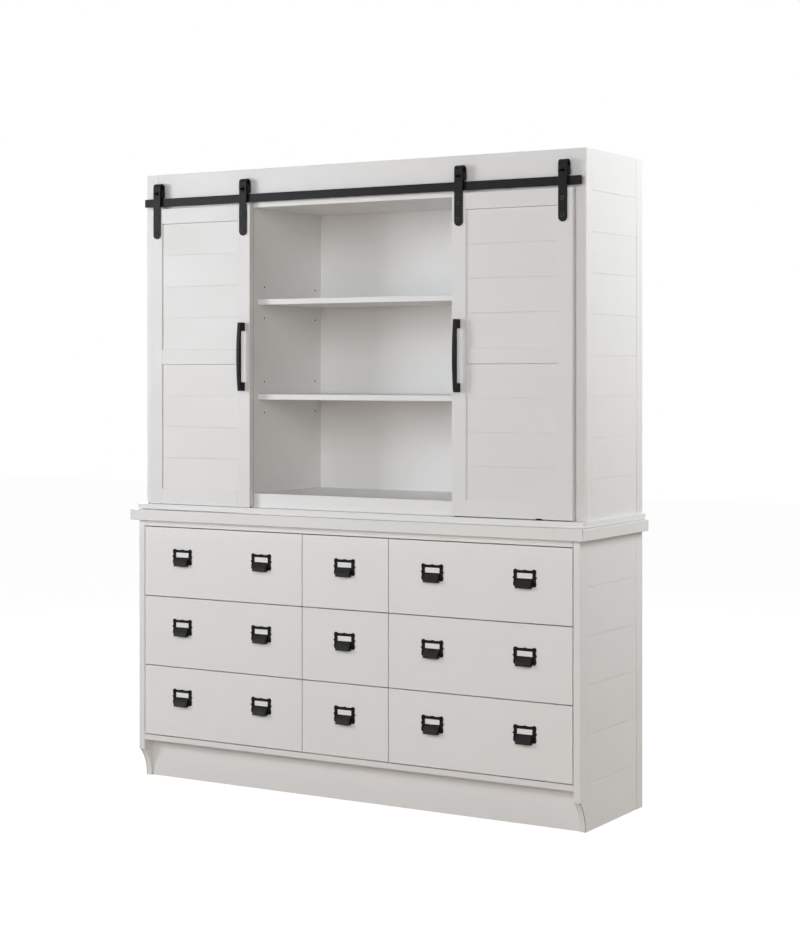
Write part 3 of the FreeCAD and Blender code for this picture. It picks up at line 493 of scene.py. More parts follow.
@dataclass(frozen=True)
class Paint(Finish):
    """Satin paint on boards, with faint strokes, cloudy colour and softly rubbed edges."""

    colour: Colour = (0.845, 0.838, 0.828, 1)
    shade: Colour = (0.74, 0.728, 0.71, 1)
    worn: Colour = (0.50, 0.46, 0.40, 1)
    wear: float = 0.35
    wear_reach: float = 2.2 * MM
    gloss: float = 0.42
    gloss_spread: float = 0.16
    worn_roughness: float = 0.25
    cloud_tone: float = 0.16
    stroke_tone: float = 0.05
    board_tone: float = 0.12
    peel_scale: float = 420.0
    peel_share: float = 0.25
    stroke_depth: float = 0.10 * MM

    def wire(self, wiring: Wiring, shader: bpy.types.Node) -> None:
        """Wires colour, roughness and normal.

        Args:
            wiring: The material's wiring.
            shader: Its Principled shader.
        """
        groups = SurfaceGroups
        board = groups.place(wiring, groups.board_place())
        place = board.outputs["Place"]
        strokes = groups.place(wiring, groups.brush_strokes(), Place=place, Fineness=1.0)
        wear = groups.place(
            wiring,
            groups.edge_wear(),
            Edge_distance=board.outputs["Edge distance"],
            Place=place,
            Reach=self.wear_reach,
            Amount=self.wear,
        )
        cloud = wiring.ramp(strokes.outputs["Cloud"], 0.25, 0.75)
        line = wiring.ramp(strokes.outputs["Strokes"], 0.35, 0.65)
        tone = wiring.plus(wiring.times(cloud, self.cloud_tone), wiring.times(line, self.stroke_tone))
        tone = wiring.plus(tone, wiring.times(board.outputs["Chance"], self.board_tone))
        colour = wiring.blend(tone, self.colour, self.shade)
        wiring.feed(shader.inputs["Base Color"], wiring.blend(wear.outputs["Mask"], colour, self.worn))
        rough = wiring.around(strokes.outputs["Cloud"], self.gloss, self.gloss_spread)
        rough = wiring.plus(rough, wiring.times(wear.outputs["Mask"], self.worn_roughness))
        wiring.feed(shader.inputs["Roughness"], rough)
        peel = wiring.noise(place, self.peel_scale, 2.0, 0.5)
        height = wiring.plus(strokes.outputs["Strokes"], wiring.times(peel, self.peel_share))
        wiring.feed(shader.inputs["Normal"], wiring.bump(height, self.stroke_depth, 0.8))


@dataclass(frozen=True)
class BareWood(Finish):
    """Bare or clear-lacquered wood, with growth rings and fibres."""

    early: Colour = (0.66, 0.50, 0.32, 1)
    late: Colour = (0.45, 0.29, 0.15, 1)
    ring_count: float = 11.0
    ring_tone: float = 0.45
    fibre_tone: float = 0.35
    board_tone: float = 0.15
    fibre_depth: float = 0.12 * MM

    def wire(self, wiring: Wiring, shader: bpy.types.Node) -> None:
        """Wires colour, roughness and normal.

        Args:
            wiring: The material's wiring.
            shader: Its Principled shader.
        """
        groups = SurfaceGroups
        board = groups.place(wiring, groups.board_place())
        place = board.outputs["Place"]
        strokes = groups.place(wiring, groups.brush_strokes(), Place=place, Fineness=1.6)
        bent = wiring.noise(wiring.stretched(place, (1.3, 9.0, 9.0)), 1.0, 2.0, 0.5)
        rings = wiring.maths("FRACT", wiring.times(bent, self.ring_count), 0.0)
        rings = wiring.times(wiring.ramp(rings, 0.0, 0.75), wiring.ramp(rings, 0.8, 1.0, 1.0, 0.0))
        fibres = wiring.ramp(strokes.outputs["Strokes"], 0.4, 0.68)
        amount = wiring.plus(wiring.times(rings, self.ring_tone), wiring.times(fibres, self.fibre_tone))
        amount = wiring.plus(amount, wiring.times(board.outputs["Chance"], self.board_tone), True)
        wiring.feed(shader.inputs["Base Color"], wiring.blend(amount, self.early, self.late))
        wiring.feed(shader.inputs["Roughness"], wiring.ramp(fibres, 0.0, 1.0, 0.42, 0.55))
        wiring.feed(shader.inputs["Normal"], wiring.bump(strokes.outputs["Strokes"], self.fibre_depth, 0.8))


@dataclass(frozen=True)
class Metal(Finish):
    """Metal parts: black coated iron, plated steel, or the moulded wheels, set by their values."""

    colour: Colour = (0.0068, 0.0067, 0.0066, 1)
    light: Colour = (0.011, 0.0108, 0.0106, 1)
    # Laid on faces turned up: partly dust, partly painted sheen of light from above.
    dust: Colour = (0.06, 0.058, 0.055, 1)
    dust_and_sheen_cover: float = 0.5
    metallic: float = 0.0
    rough: float = 0.42
    rough_spread: float = 0.2
    specular: float = 0.13
    pebble: float = 900.0
    depth: float = 0.08 * MM

    def wire(self, wiring: Wiring, shader: bpy.types.Node) -> None:
        """Wires colour, roughness and normal.

        Args:
            wiring: The material's wiring.
            shader: Its Principled shader.
        """
        groups = SurfaceGroups
        place = wiring.node("TexCoord").outputs["Object"]
        skin = groups.place(wiring, groups.cast_skin(), Place=place, Pebble=self.pebble)
        colour = wiring.blend(wiring.ramp(skin.outputs["Cloud"], 0.35, 0.7), self.colour, self.light)
        # Lighter colour on faces turned up: dust and painted sheen.
        colour = wiring.blend(wiring.times(skin.outputs["Dust"], self.dust_and_sheen_cover), colour, self.dust)
        wiring.feed(shader.inputs["Base Color"], colour)
        shader.inputs["Metallic"].default_value = self.metallic
        shader.inputs["Specular IOR Level"].default_value = self.specular
        rough = wiring.around(skin.outputs["Cloud"], self.rough, self.rough_spread)
        wiring.feed(shader.inputs["Roughness"], rough)
        wiring.feed(shader.inputs["Normal"], wiring.bump(skin.outputs["Height"], self.depth, 0.7))


@dataclass(frozen=True)
class Card(Finish):
    """Label card behind the window of a drawer pull."""

    colour: Colour = (0.93, 0.925, 0.91, 1)
    edge: Colour = (0.97, 0.965, 0.95, 1)
    fibre: Colour = (0.55, 0.53, 0.5, 1)
    fibre_tone: float = 0.12
    fibre_scale: float = 1500.0
    fibre_depth: float = 0.03 * MM
    border: Span = (4.0 * MM, 4.4 * MM)

    def wire(self, wiring: Wiring, shader: bpy.types.Node) -> None:
        """Wires colour, roughness and normal.

        Args:
            wiring: The material's wiring.
            shader: Its Principled shader.
        """
        groups = SurfaceGroups
        board = groups.place(wiring, groups.board_place())
        fibre = wiring.noise(board.outputs["Place"], self.fibre_scale, 3.0, 0.6)
        border = wiring.ramp(board.outputs["Edge distance"], *self.border, 1.0, 0.0)
        tone = wiring.blend(border, self.colour, self.edge)
        colour = wiring.blend(wiring.times(fibre, self.fibre_tone), tone, self.fibre)
        wiring.feed(shader.inputs["Base Color"], colour)
        wiring.feed(shader.inputs["Roughness"], wiring.ramp(fibre, 0.3, 0.7, 0.7, 0.85))
        wiring.feed(shader.inputs["Normal"], wiring.bump(fibre, self.fibre_depth, 0.5))


WHITE_PAINT = Paint("White satin paint", "white_paint")
# Copies of the same white paint: darker on the doors as painted shade, lighter on the drawer fronts as
# painted light.
DOOR_SHADE_PAINT = Paint(
    "White door paint", "white_paint", colour=(0.808, 0.801, 0.791, 1), shade=(0.708, 0.697, 0.68, 1)
)
DRAWER_LIGHT_PAINT = Paint(
    "White drawer paint", "white_paint", colour=(0.868, 0.86, 0.848, 1), shade=(0.76, 0.747, 0.728, 1)
)
PAINTED_BACK = Paint("White painted back board", "white_paint", gloss=0.5, wear=0.1)
DRAWER_WOOD = BareWood("Lacquered drawer wood", "drawer_wood")
# Near-black, darker than any bare wood: painted shade laid into joints, a corner gap and pin holes.
CREVICE_SHADE = BareWood(
    "Painted crevice shade", "white_paint", early=(0.022, 0.017, 0.013, 1), late=(0.012, 0.009, 0.007, 1)
)
BLACK_IRON = Metal("Black coated iron", "black_iron")
# Two copies of one black casting: the darker for the pull frames and screws, painted shade where they face
# forward; the lighter for the hoods, painted sheen where they tilt up.
DARKENED_CASTING = Metal(
    "Black cast pull",
    "black_iron",
    colour=(0.0045, 0.0044, 0.0043, 1),
    light=(0.009, 0.0088, 0.0085, 1),
    dust=(0.075, 0.072, 0.066, 1),
    rough=0.4,
    specular=0.09,
    pebble=1300.0,
)
LIGHTENED_CASTING = Metal(
    "Rubbed cast hood",
    "black_iron",
    colour=(0.0078, 0.0076, 0.0074, 1),
    light=(0.0155, 0.0152, 0.0149, 1),
    dust=(0.11, 0.106, 0.098, 1),
    rough=0.44,
    specular=0.13,
    pebble=1300.0,
)
# Lighter than the strap it sits on: painted highlight standing in for the heads' glints.
LIGHTENED_BOLTS = Metal(
    "Rubbed bolt head",
    "black_iron",
    colour=(0.022, 0.0217, 0.0213, 1),
    light=(0.045, 0.044, 0.043, 1),
    dust=(0.2, 0.197, 0.192, 1),
    rough=0.3,
    specular=0.4,
    depth=0.03 * MM,
)
# Near-black: painted shade laid at the floors of the bolt recesses and the axle slot.
RECESS_SHADE = Metal(
    "Painted recess shade",
    "black_iron",
    colour=(0.0012, 0.0012, 0.0012, 1),
    light=(0.003, 0.0029, 0.0028, 1),
    dust=(0.006, 0.006, 0.006, 1),
    rough=0.9,
    specular=0.02,
)
ZINC_STEEL = Metal(
    "Plated steel",
    "zinc_steel",
    colour=(0.52, 0.52, 0.53, 1),
    light=(0.62, 0.62, 0.62, 1),
    dust=(0.5, 0.49, 0.47, 1),
    metallic=0.9,
    rough=0.36,
    specular=0.5,
    depth=0.02 * MM,
)
WHEEL_NYLON = Metal(
    "Moulded black nylon",
    "wheel_plastic",
    colour=(0.018, 0.018, 0.018, 1),
    rough=0.55,
    pebble=1600.0,
    depth=0.03 * MM,
)
LABEL_CARD = Card("Label card", "black_iron")


# ------------------------------------------------------------------ mesh tools
def arc_points(centre: Pair, radius: float, start: float, end: float, steps: int) -> list[Pair]:
    """Points along a circular arc.

    Args:
        centre: Its centre.
        radius: Its radius.
        start: The first angle, in degrees.
        end: The last angle, in degrees.
        steps: How many pieces it is cut into.

    Returns:
        steps + 1 points.
    """
    points = []
    for number in range(steps + 1):
        angle = math.radians(start + (end - start) * number / steps)
        points.append((centre[0] + radius * math.cos(angle), centre[1] + radius * math.sin(angle)))
    return points


def circle_points(centre: Pair, radius: float) -> list[Pair]:
    """Twenty-four points round a circle, as for a pin hole."""
    return arc_points(centre, radius, 0, 345, 23)


def rectangle(first: Span, second: Span) -> list[Pair]:
    """The four corners that two spans enclose, once round."""
    return [(first[0], second[0]), (first[1], second[0]), (first[1], second[1]), (first[0], second[1])]


def mirrored(sign: int, near: float, far: float) -> Span:
    """The span between two distances from the middle, on the side with that sign."""
    low, high = sorted((sign * near, sign * far))
    return low, high


def arc_through(first: Pair, middle: Pair, last: Pair, steps: int) -> list[Pair]:
    """Points along the circular arc through three points.

    Args:
        first: Where it starts.
        middle: A point on it.
        last: Where it ends.
        steps: How many pieces it is cut into.

    Returns:
        steps + 1 points.
    """
    (ax, ay), (bx, by), (cx, cy) = first, middle, last
    spread = 2 * (ax * (by - cy) + bx * (cy - ay) + cx * (ay - by))
    ux = ((ax**2 + ay**2) * (by - cy) + (bx**2 + by**2) * (cy - ay) + (cx**2 + cy**2) * (ay - by)) / spread
    uy = ((ax**2 + ay**2) * (cx - bx) + (bx**2 + by**2) * (ax - cx) + (cx**2 + cy**2) * (bx - ax)) / spread
    angles = [math.degrees(math.atan2(y - uy, x - ux)) for x, y in (first, middle, last)]
    for place in (1, 2):
        while angles[place] - angles[place - 1] > 180:
            angles[place] -= 360
        while angles[place] - angles[place - 1] < -180:
            angles[place] += 360
    return arc_points((ux, uy), math.hypot(ax - ux, ay - uy), angles[0], angles[2], steps)


def smooth_loop(points: Outline, steps: int) -> list[Pair]:
    """A closed curve through points.

    Args:
        points: The points it passes through.
        steps: How many pieces each span is cut into.

    Returns:
        The curve's points.
    """
    count = len(points)
    curve = []
    for number in range(count):
        a, b, c, d = (Vector(points[(number + shift) % count]) for shift in (-1, 0, 1, 2))
        for step in range(steps):
            t = step / steps
            bend, twist = 2 * a - 5 * b + 4 * c - d, 3 * b - a - 3 * c + d
            place = 0.5 * (2 * b + (c - a) * t + bend * t**2 + twist * t**3)
            curve.append((place.x, place.y))
    return curve


def bevel(mesh: BMesh, edges: list[bmesh.types.BMEdge], reach: float, segments: int, profile: float) -> None:
    """Bevels edges of a mesh, and keeps the bevels from overlapping."""
    bmesh.ops.bevel(
        mesh, geom=edges, offset=reach, segments=segments, profile=profile, affect="EDGES", clamp_overlap=True
    )


def ease_edges(mesh: BMesh, amount: float, segments: int = 3, above: float = 25.0) -> None:
    """Rounds every edge of a mesh that is sharper than an angle.

    Args:
        mesh: The mesh.
        amount: How far the rounding reaches.
        segments: How many faces each rounding has.
        above: The angle in degrees.
    """
    edges = [e for e in mesh.edges if len(e.link_faces) == 2 and e.calc_face_angle(0) > math.radians(above)]
    bevel(mesh, edges, amount, segments, 0.5)


def extruded(outline: Outline, axis: Axis, span: Span) -> BMesh:
    """A closed outline pulled along an axis.

    Args:
        outline: Its points, in the two other axes in X, Y, Z order.
        axis: The axis it is pulled along.
        span: Where it starts and ends.

    Returns:
        The solid's mesh.
    """
    mesh = bmesh.new()
    others = [number for number in range(3) if number != axis.value]
    rings = []
    for level in (min(span), max(span)):
        ring = []
        for first, second in outline:
            place = [0.0, 0.0, 0.0]
            place[axis.value] = level
            place[others[0]], place[others[1]] = first, second
            ring.append(mesh.verts.new(place))
        rings.append(ring)
    for ring in rings:
        mesh.faces.new(ring)
    count = len(outline)
    for number in range(count):
        after = (number + 1) % count
        mesh.faces.new((rings[0][number], rings[0][after], rings[1][after], rings[1][number]))
    bmesh.ops.recalc_face_normals(mesh, faces=mesh.faces)
    return mesh


def skinned(rings: Sequence[Sequence[Vector]], closed: bool = True, wrapped: bool = False) -> BMesh:
    """A skin over rings of points, closed into a solid.

    Args:
        rings: Rings of as many points each.
        closed: Whether each ring's last point joins its first.
        wrapped: Whether the last ring joins the first; otherwise both get a cap.

    Returns:
        The solid's mesh.
    """
    mesh = bmesh.new()
    made = [[mesh.verts.new(point) for point in ring] for ring in rings]
    count = len(made[0])
    pairs = list(zip(made, made[1:]))
    if wrapped:
        pairs.append((made[-1], made[0]))
    for one, two in pairs:
        for number in range(count if closed else count - 1):
            after = (number + 1) % count
            mesh.faces.new((one[number], one[after], two[after], two[number]))
    if not wrapped:
        mesh.faces.new(made[0])
        mesh.faces.new(made[-1])
    if not closed:
        mesh.faces.new([ring[0] for ring in made])
        mesh.faces.new([ring[-1] for ring in made])
    bmesh.ops.remove_doubles(mesh, verts=mesh.verts, dist=1e-6)
    bmesh.ops.recalc_face_normals(mesh, faces=mesh.faces)
    return mesh


def turned(profile: Outline, centre: Vector, steps: int = 48, bored: bool = False) -> BMesh:
    """A turned part with its axis along Y.

    Args:
        profile: (radius, y) points from one end of the axis to the other, y from the centre.
        centre: The point that the profile is measured from.
        steps: How many faces go round.
        bored: Whether it has a hole along its axis, with a profile that closes on itself.

    Returns:
        The solid's mesh.
    """
    rings = []
    for radius, y in profile:
        ring = []
        for number in range(steps):
            angle = 2 * math.pi * number / steps
            ring.append(centre + Vector((radius * math.cos(angle), y, radius * math.sin(angle))))
        rings.append(ring)
    return skinned(rings, True, bored)


def carved(body: BMesh, cutters: Iterable[BMesh]) -> BMesh:
    """A solid with others cut out of it.

    Args:
        body: The solid. It is used up.
        cutters: The solids that are cut away. They are used up, and don't overlap each other.

    Returns:
        What is left.
    """
    meshes = []
    for number, source in enumerate((body, *cutters)):
        mesh = bpy.data.meshes.new(f"carving{number}")
        source.to_mesh(mesh)
        source.free()
        meshes.append(mesh)
    whole = bmesh.new()
    for mesh in meshes[1:]:
        whole.from_mesh(mesh)
    tool_mesh = bpy.data.meshes.new("carving_tool")
    whole.to_mesh(tool_mesh)
    whole.free()
    work = bpy.data.objects.new("carving_work", meshes[0])
    tool = bpy.data.objects.new("carving_tool", tool_mesh)
    for item in (work, tool):
        bpy.context.scene.collection.objects.link(item)
    cut = work.modifiers.new("cut", "BOOLEAN")
    cut.operation, cut.solver, cut.object = "DIFFERENCE", "EXACT", tool
    bpy.context.view_layer.update()
    result = bmesh.new()
    result.from_mesh(work.evaluated_get(bpy.context.evaluated_depsgraph_get()).to_mesh())
    work.evaluated_get(bpy.context.evaluated_depsgraph_get()).to_mesh_clear()
    for item in (work, tool):
        bpy.data.objects.remove(item)
    for mesh in (*meshes, tool_mesh):
        bpy.data.meshes.remove(mesh)
    return result


def slit(levels: Sequence[tuple[float, Span, Span]]) -> BMesh:
    """A cutter for a narrow slit of uneven width.

    Args:
        levels: The height, the span along X and the span along Y of each of its sections, from below.

    Returns:
        Its mesh.
    """
    return skinned([[Vector((px, py, z)) for px, py in rectangle(x, y)] for z, x, y in levels])


class Piece:
    """One visible piece, gathered from boards and other solids, with the grain and chance of each kept."""

    def __init__(self, name: str, seed: int) -> None:
        """Starts an empty piece.

        Args:
            name: The piece's name.
            seed: What its chance values start from.
        """
        self.name = name
        self.chance = random.Random(seed)
        self.mesh = bmesh.new()
        self.at = self.mesh.verts.layers.float_vector.new("board_at")
        self.half = self.mesh.verts.layers.float_vector.new("board_half")
        self.luck = self.mesh.verts.layers.float.new("board_chance")
        self.finishes: list[Finish] = []

    def add(self, part: BMesh, finish: Finish, grain: Optional[Axis] = None) -> None:
        """Adds a solid.

        Args:
            part: The solid's mesh. It is used up.
            finish: Its finish.
            grain: The axis its grain runs along; without one, its longest.
        """
        if finish not in self.finishes:
            self.finishes.append(finish)
        low = Vector([min(v.co[i] for v in part.verts) for i in range(3)])
        high = Vector([max(v.co[i] for v in part.verts) for i in range(3)])
        centre, half = (low + high) / 2, (high - low) / 2
        order = sorted(range(3), key=lambda i: -half[i])
        if grain is not None:
            order = [grain.value] + [i for i in order if i != grain.value]
        sizes = Vector([half[i] for i in order])
        luck = self.chance.random()
        twins = {}
        for vert in part.verts:
            twin = self.mesh.verts.new(vert.co)
            offset = vert.co - centre
            twin[self.at] = Vector([offset[i] for i in order])
            twin[self.half] = sizes
            twin[self.luck] = luck
            twins[vert] = twin
        place = self.finishes.index(finish)
        for face in part.faces:
            copy = self.mesh.faces.new([twins[v] for v in face.verts])
            copy.material_index = place
            copy.smooth = True
        part.free()

    def board(
        self,
        x: Span,
        y: Span,
        z: Span,
        finish: Finish,
        grain: Optional[Axis] = None,
        ease: float = 1.2 * MM,
        veed: Optional[tuple[Axis, float]] = None,
        vee: float = 2.0 * MM,
        cuts: Sequence[BMesh] = (),
    ) -> None:
        """Adds a board with eased edges.

        Args:
            x: Its span along X.
            y: Its span along Y.
            z: Its span along Z.
            finish: Its finish.
            grain: The axis its grain runs along; without one, its longest.
            ease: How far its edges are rounded.
            veed: The face, as an axis and a level, whose edges are bevelled for V joints.
            vee: How deep those bevels are.
            cuts: Solids that are cut out of it. They are used up.
        """
        part = extruded(rectangle(x, y), Axis.Z, z)
        if veed is not None:
            axis, level = veed
            rim = [e for e in part.edges if all(abs(v.co[axis.value] - level) < 1e-6 for v in e.verts)]
            bevel(part, rim, vee, 2, 0.6)
            ease_edges(part, ease / 2, 2, 40.0)
        else:
            ease_edges(part, ease)
        self.add(carved(part, cuts) if cuts else part, finish, grain)

    def finish(self, body: str, *nodes: str, sharp: float = 38.0) -> None:
        """Makes the Blender object, hangs it on its body and lets it stand for its nodes.

        Args:
            body: The body it rides on.
            nodes: The nodes it stands for.
            sharp: Edges above this angle in degrees stay sharp.
        """
        for edge in self.mesh.edges:
            if len(edge.link_faces) == 2 and edge.calc_face_angle(0) > math.radians(sharp):
                edge.smooth = False
        data = bpy.data.meshes.new(self.name)
        self.mesh.to_mesh(data)
        self.mesh.free()
        for finish in self.finishes:
            data.materials.append(finish.material())
        made = bpy.data.objects.new(self.name, data)
        bpy.context.scene.collection.objects.link(made)
        weighting = made.modifiers.new("face weights", "WEIGHTED_NORMAL")
        weighting.keep_sharp = True
        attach(made, body)
        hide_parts(*nodes)
        log.info("%s: %d faces, rides on %s", self.name, len(data.polygons), body)


# ------------------------------------------------------------------ fasteners
class Fasteners:
    """Screws and bolts, each kind of head shaped once and then stamped wherever it is used."""

    _heads: dict[tuple[float, float, Drive], bpy.types.Mesh] = {}

    @classmethod
    def head(cls, radius: float, height: float, drive: Drive) -> bpy.types.Mesh:
        """A domed head whose seat is at Y = 0 and whose dome points to -Y.

        Args:
            radius: Its radius.
            height: Its height.
            drive: The recess in it.

        Returns:
            Its mesh.
        """
        key = (radius, height, drive)
        if key in cls._heads:
            return cls._heads[key]
        rim = height * 0.35
        profile = [(0.0001 * MM, 0.0), (radius, 0.0), (radius, -rim)]
        for number in range(1, 7):
            angle = math.pi / 2 * number / 6
            across = max(radius * math.cos(angle), 0.02 * MM)
            profile.append((across, -rim - (height - rim) * math.sin(angle)))
        body = turned(profile, Vector(), 36)
        reach = (-height * 1.2, -height * 0.35)
        if drive is Drive.HEX:
            recess = arc_points((0, 0), radius * 0.58, 0, 300, 5)
        elif drive is Drive.SLOT:
            long, thin = radius * 1.2, radius * 0.38
            recess = [(long, thin), (-long, thin), (-long, -thin), (long, -thin)]
        else:
            long, thin = radius * 0.62, radius * 0.13
            recess = [(long, thin), (thin, thin), (thin, long), (-thin, long), (-thin, thin), (-long, thin)]
            recess += [(-first, -second) for first, second in recess]
        part = carved(body, [extruded(recess, Axis.Y, reach)])
        mesh = bpy.data.meshes.new(f"{drive.value}_head")
        part.to_mesh(mesh)
        part.free()
        cls._heads[key] = mesh
        return mesh

    @classmethod
    def stamp(
        cls,
        piece: Piece,
        place: Vector,
        radius: float,
        height: float,
        drive: Drive,
        finish: Finish,
        turn: float = 0.0,
        towards_back: bool = False,
    ) -> None:
        """Puts a head onto a piece.

        Args:
            piece: The piece that gets it.
            place: The middle of its seat.
            radius: Its radius.
            height: Its height.
            drive: The recess in it.
            finish: Its finish.
            turn: How far its recess is turned, in degrees.
            towards_back: Whether it points to +Y.
        """
        part = bmesh.new()
        part.from_mesh(cls.head(radius, height, drive))
        matrix = Matrix.Translation(place)
        if towards_back:
            matrix = matrix @ Matrix.Rotation(math.pi, 4, "Z")
        matrix = matrix @ Matrix.Rotation(math.radians(turn), 4, "Y")
        bmesh.ops.transform(part, matrix=matrix, verts=part.verts)
        piece.add(part, finish)

    @staticmethod
    def shank(piece: Piece, x: float, y: Span, z: float, radius: float, finish: Finish) -> None:
        """Adds a plain round shank along Y.

        Args:
            piece: The piece that gets it.
            x: Its place along X.
            y: Where it starts and ends.
            z: Its height.
            radius: Its radius.
            finish: Its finish.
        """
        tip = radius * 0.3
        low, high = min(y), max(y)
        profile = [(radius - tip, low), (radius, low + tip), (radius, high - tip), (radius - tip, high)]
        piece.add(turned(profile, Vector((x, 0, z)), 24), finish)


# ------------------------------------------------------------------ lower case
@dataclass
class LowerCase:
    """The case that holds the drawers, with its planked sides, top and recessed kick board."""

    front_stile: float = 50 * MM
    rear_stile: float = 45 * MM
    plank_cover: float = 146 * MM
    planks: int = 6
    foot_height: float = 93 * MM
    foot_depth: float = 40 * MM
    foot_ledge: float = 5 * MM
    foot_curve: Pair = (29 * MM, 56 * MM)
    kick_height: float = 127 * MM
    kick_setback: float = 47 * MM
    board: float = 19 * MM
    rail_height: float = 20 * MM
    rail_depth: float = 60 * MM
    divider_x: float = 162 * MM
    divider_front: float = -190 * MM
    top_front: float = -235 * MM
    half_top: float = 845 * MM
    runner_rise: float = 69 * MM
    runner_half: float = 22.5 * MM

    def build(self) -> None:
        """Builds and dresses every piece of the lower case."""
        for side in Side:
            self.side_panel(side)
        self.dividers()
        self.floor_and_rails()
        self.back()
        self.kicks()
        self.top()
        self.runners()

    def side_panel(self, side: Side) -> None:
        """One side: a front stile with its cut-away foot, planks and a rear stile.

        Args:
            side: Which side it is.
        """
        piece = Piece(f"lower_side_{side.word}", 11 + side.value)
        sign = side.value
        x = mirrored(sign, PLAN.half_inside, PLAN.half_case)
        front, toe = PLAN.front, PLAN.front + self.foot_depth
        ledge = (front + self.foot_ledge, self.foot_height)
        curve = arc_through(ledge, (front + self.foot_curve[0], self.foot_curve[1]), (toe, 0.0), 18)
        rear = front + self.front_stile
        outline = [(rear, 0.0), (rear, PLAN.case_top), (front, PLAN.case_top), (front, self.foot_height)]
        stile = extruded(outline + curve, Axis.X, x)
        ease_edges(stile, 1.1 * MM)
        piece.add(stile, WHITE_PAINT, Axis.Z)
        # Painted shade: a near-black strip in the joint along the foot's curve.
        piece.add(self.foot_joint_shade(sign, curve, (1.1 * MM, 2.6 * MM)), CREVICE_SHADE, Axis.Z)
        field_y = (rear, PLAN.back - self.rear_stile)
        joint = ((0.0, 1.3 * MM), (PLAN.case_top, 1.6 * MM))
        piece.add(jointed_stile(sign, field_y[1], joint), WHITE_PAINT, Axis.Z)
        end = (PLAN.case_top - self.plank_cover * (self.planks - 2)) / 2
        low = 0.0
        for number in range(self.planks):
            cover = end if number in (0, self.planks - 1) else self.plank_cover
            outer = (Axis.X, sign * PLAN.half_case)
            vee = piece.chance.uniform(1.6, 2.6) * MM
            piece.board(x, field_y, (low, low + cover), WHITE_PAINT, Axis.Y, 0.8 * MM, outer, vee)
            low += cover
        # Painted shadow: a wider near-black strip under the ledge, at the top of the curve.
        piece.add(self.foot_joint_shade(sign, curve[:2], (2.6 * MM, 5.2 * MM)), CREVICE_SHADE, Axis.Z)
        piece.finish("carcass", f"base_side_panel_{side.word}")

    def foot_joint_shade(self, sign: int, curve: Outline, reach: Span) -> BMesh:
        """A thin near-black strip along the foot's curve, behind the outer skin: painted shade of the joint
        there.

        Args:
            sign: The sign of the side along X.
            curve: The foot's curve as (y, z) points, from above.
            reach: How far in from the outer face it starts and ends.

        Returns:
            Its mesh.
        """
        deep, proud = 1 * MM, 0.06 * MM
        inner, outer = [], []
        for number, (y, z) in enumerate(curve):
            before, after = curve[max(number - 1, 0)], curve[min(number + 1, len(curve) - 1)]
            along = Vector((after[0] - before[0], after[1] - before[1])).normalized()
            inner.append((y - along.y * deep, z + along.x * deep))
            outer.append((y + along.y * proud, z - along.x * proud))
        x = mirrored(sign, *(PLAN.half_case - depth for depth in reach))
        return extruded(inner + outer[::-1], Axis.X, x)

    def dividers(self) -> None:
        """The uprights between the drawer columns."""
        piece = Piece("lower_dividers", 21)
        for sign in (-1, 1):
            middle = sign * self.divider_x
            x = (middle - self.board / 2, middle + self.board / 2)
            y = (self.divider_front, PLAN.panel_front)
            z = (PLAN.case_floor, PLAN.case_top - self.rail_height)
            piece.board(x, y, z, WHITE_PAINT, Axis.Z, 0.8 * MM)
        piece.finish("carcass", "base_dividers")

    def floor_and_rails(self) -> None:
        """The case bottom, and the front and rear rails under the top."""
        x = (-PLAN.half_inside, PLAN.half_inside)
        floor = Piece("lower_case_bottom", 22)
        y = (PLAN.front, PLAN.panel_front)
        floor.board(x, y, (self.kick_height, PLAN.case_floor), WHITE_PAINT, Axis.X)
        floor.finish("carcass", "base_bottom_panel")
        rails = Piece("lower_top_rails", 23)
        z = (PLAN.case_top - self.rail_height, PLAN.case_top)
        rear = PLAN.panel_front - self.rail_depth
        for y in ((PLAN.front, PLAN.front + self.rail_depth), (rear, PLAN.panel_front)):
            rails.board(x, y, z, WHITE_PAINT, Axis.X)
        # At the right end a near-black strip, a hair proud of the rail, is painted shade of the open joint
        # there.
        joint = (x[1] - 0.7 * MM, x[1]), (PLAN.front - 0.06 * MM, PLAN.front + 2 * MM), z
        rails.board(*joint, CREVICE_SHADE, Axis.Z, 0.05 * MM)
        rails.finish("carcass", "base_top_rails")

    def back(self) -> None:
        """The thin back panel."""
        piece = Piece("lower_back_board", 24)
        x = (-PLAN.half_inside, PLAN.half_inside)
        y, z = (PLAN.panel_front, PLAN.back), (self.kick_height, PLAN.case_top)
        piece.board(x, y, z, PAINTED_BACK, Axis.X, 0.6 * MM)
        piece.finish("carcass", "base_back_panel")

    def kicks(self) -> None:
        """The recessed front kick board and the rear one."""
        piece = Piece("kick_board_pair", 25)
        x = (-PLAN.half_inside, PLAN.half_inside)
        front = PLAN.front + self.kick_setback
        for y in ((front, front + self.board), (PLAN.back - self.board, PLAN.back)):
            piece.board(x, y, (0.0, self.kick_height), WHITE_PAINT, Axis.X)
        piece.finish("carcass", "kick_boards")

    def top(self) -> None:
        """The thick top with its softened edges, and the lipping joints at its front corners."""
        piece = Piece("thick_top", 26)
        x = (-self.half_top, self.half_top)
        y = (self.top_front - 1 * MM, self.top_front + 9 * MM)
        cuts = []
        for sign in (-1, 1):
            joint = mirrored(sign, self.half_top - 2.6 * MM, self.half_top - 0.9 * MM)
            cuts.append(slit([(PLAN.case_top - 1 * MM, joint, y), (PLAN.board_under + 1 * MM, joint, y)]))
        z = (PLAN.case_top, PLAN.board_under)
        piece.board(x, (self.top_front, PLAN.back), z, WHITE_PAINT, Axis.X, 1.6 * MM, cuts=cuts)
        piece.finish("carcass", "dresser_top")

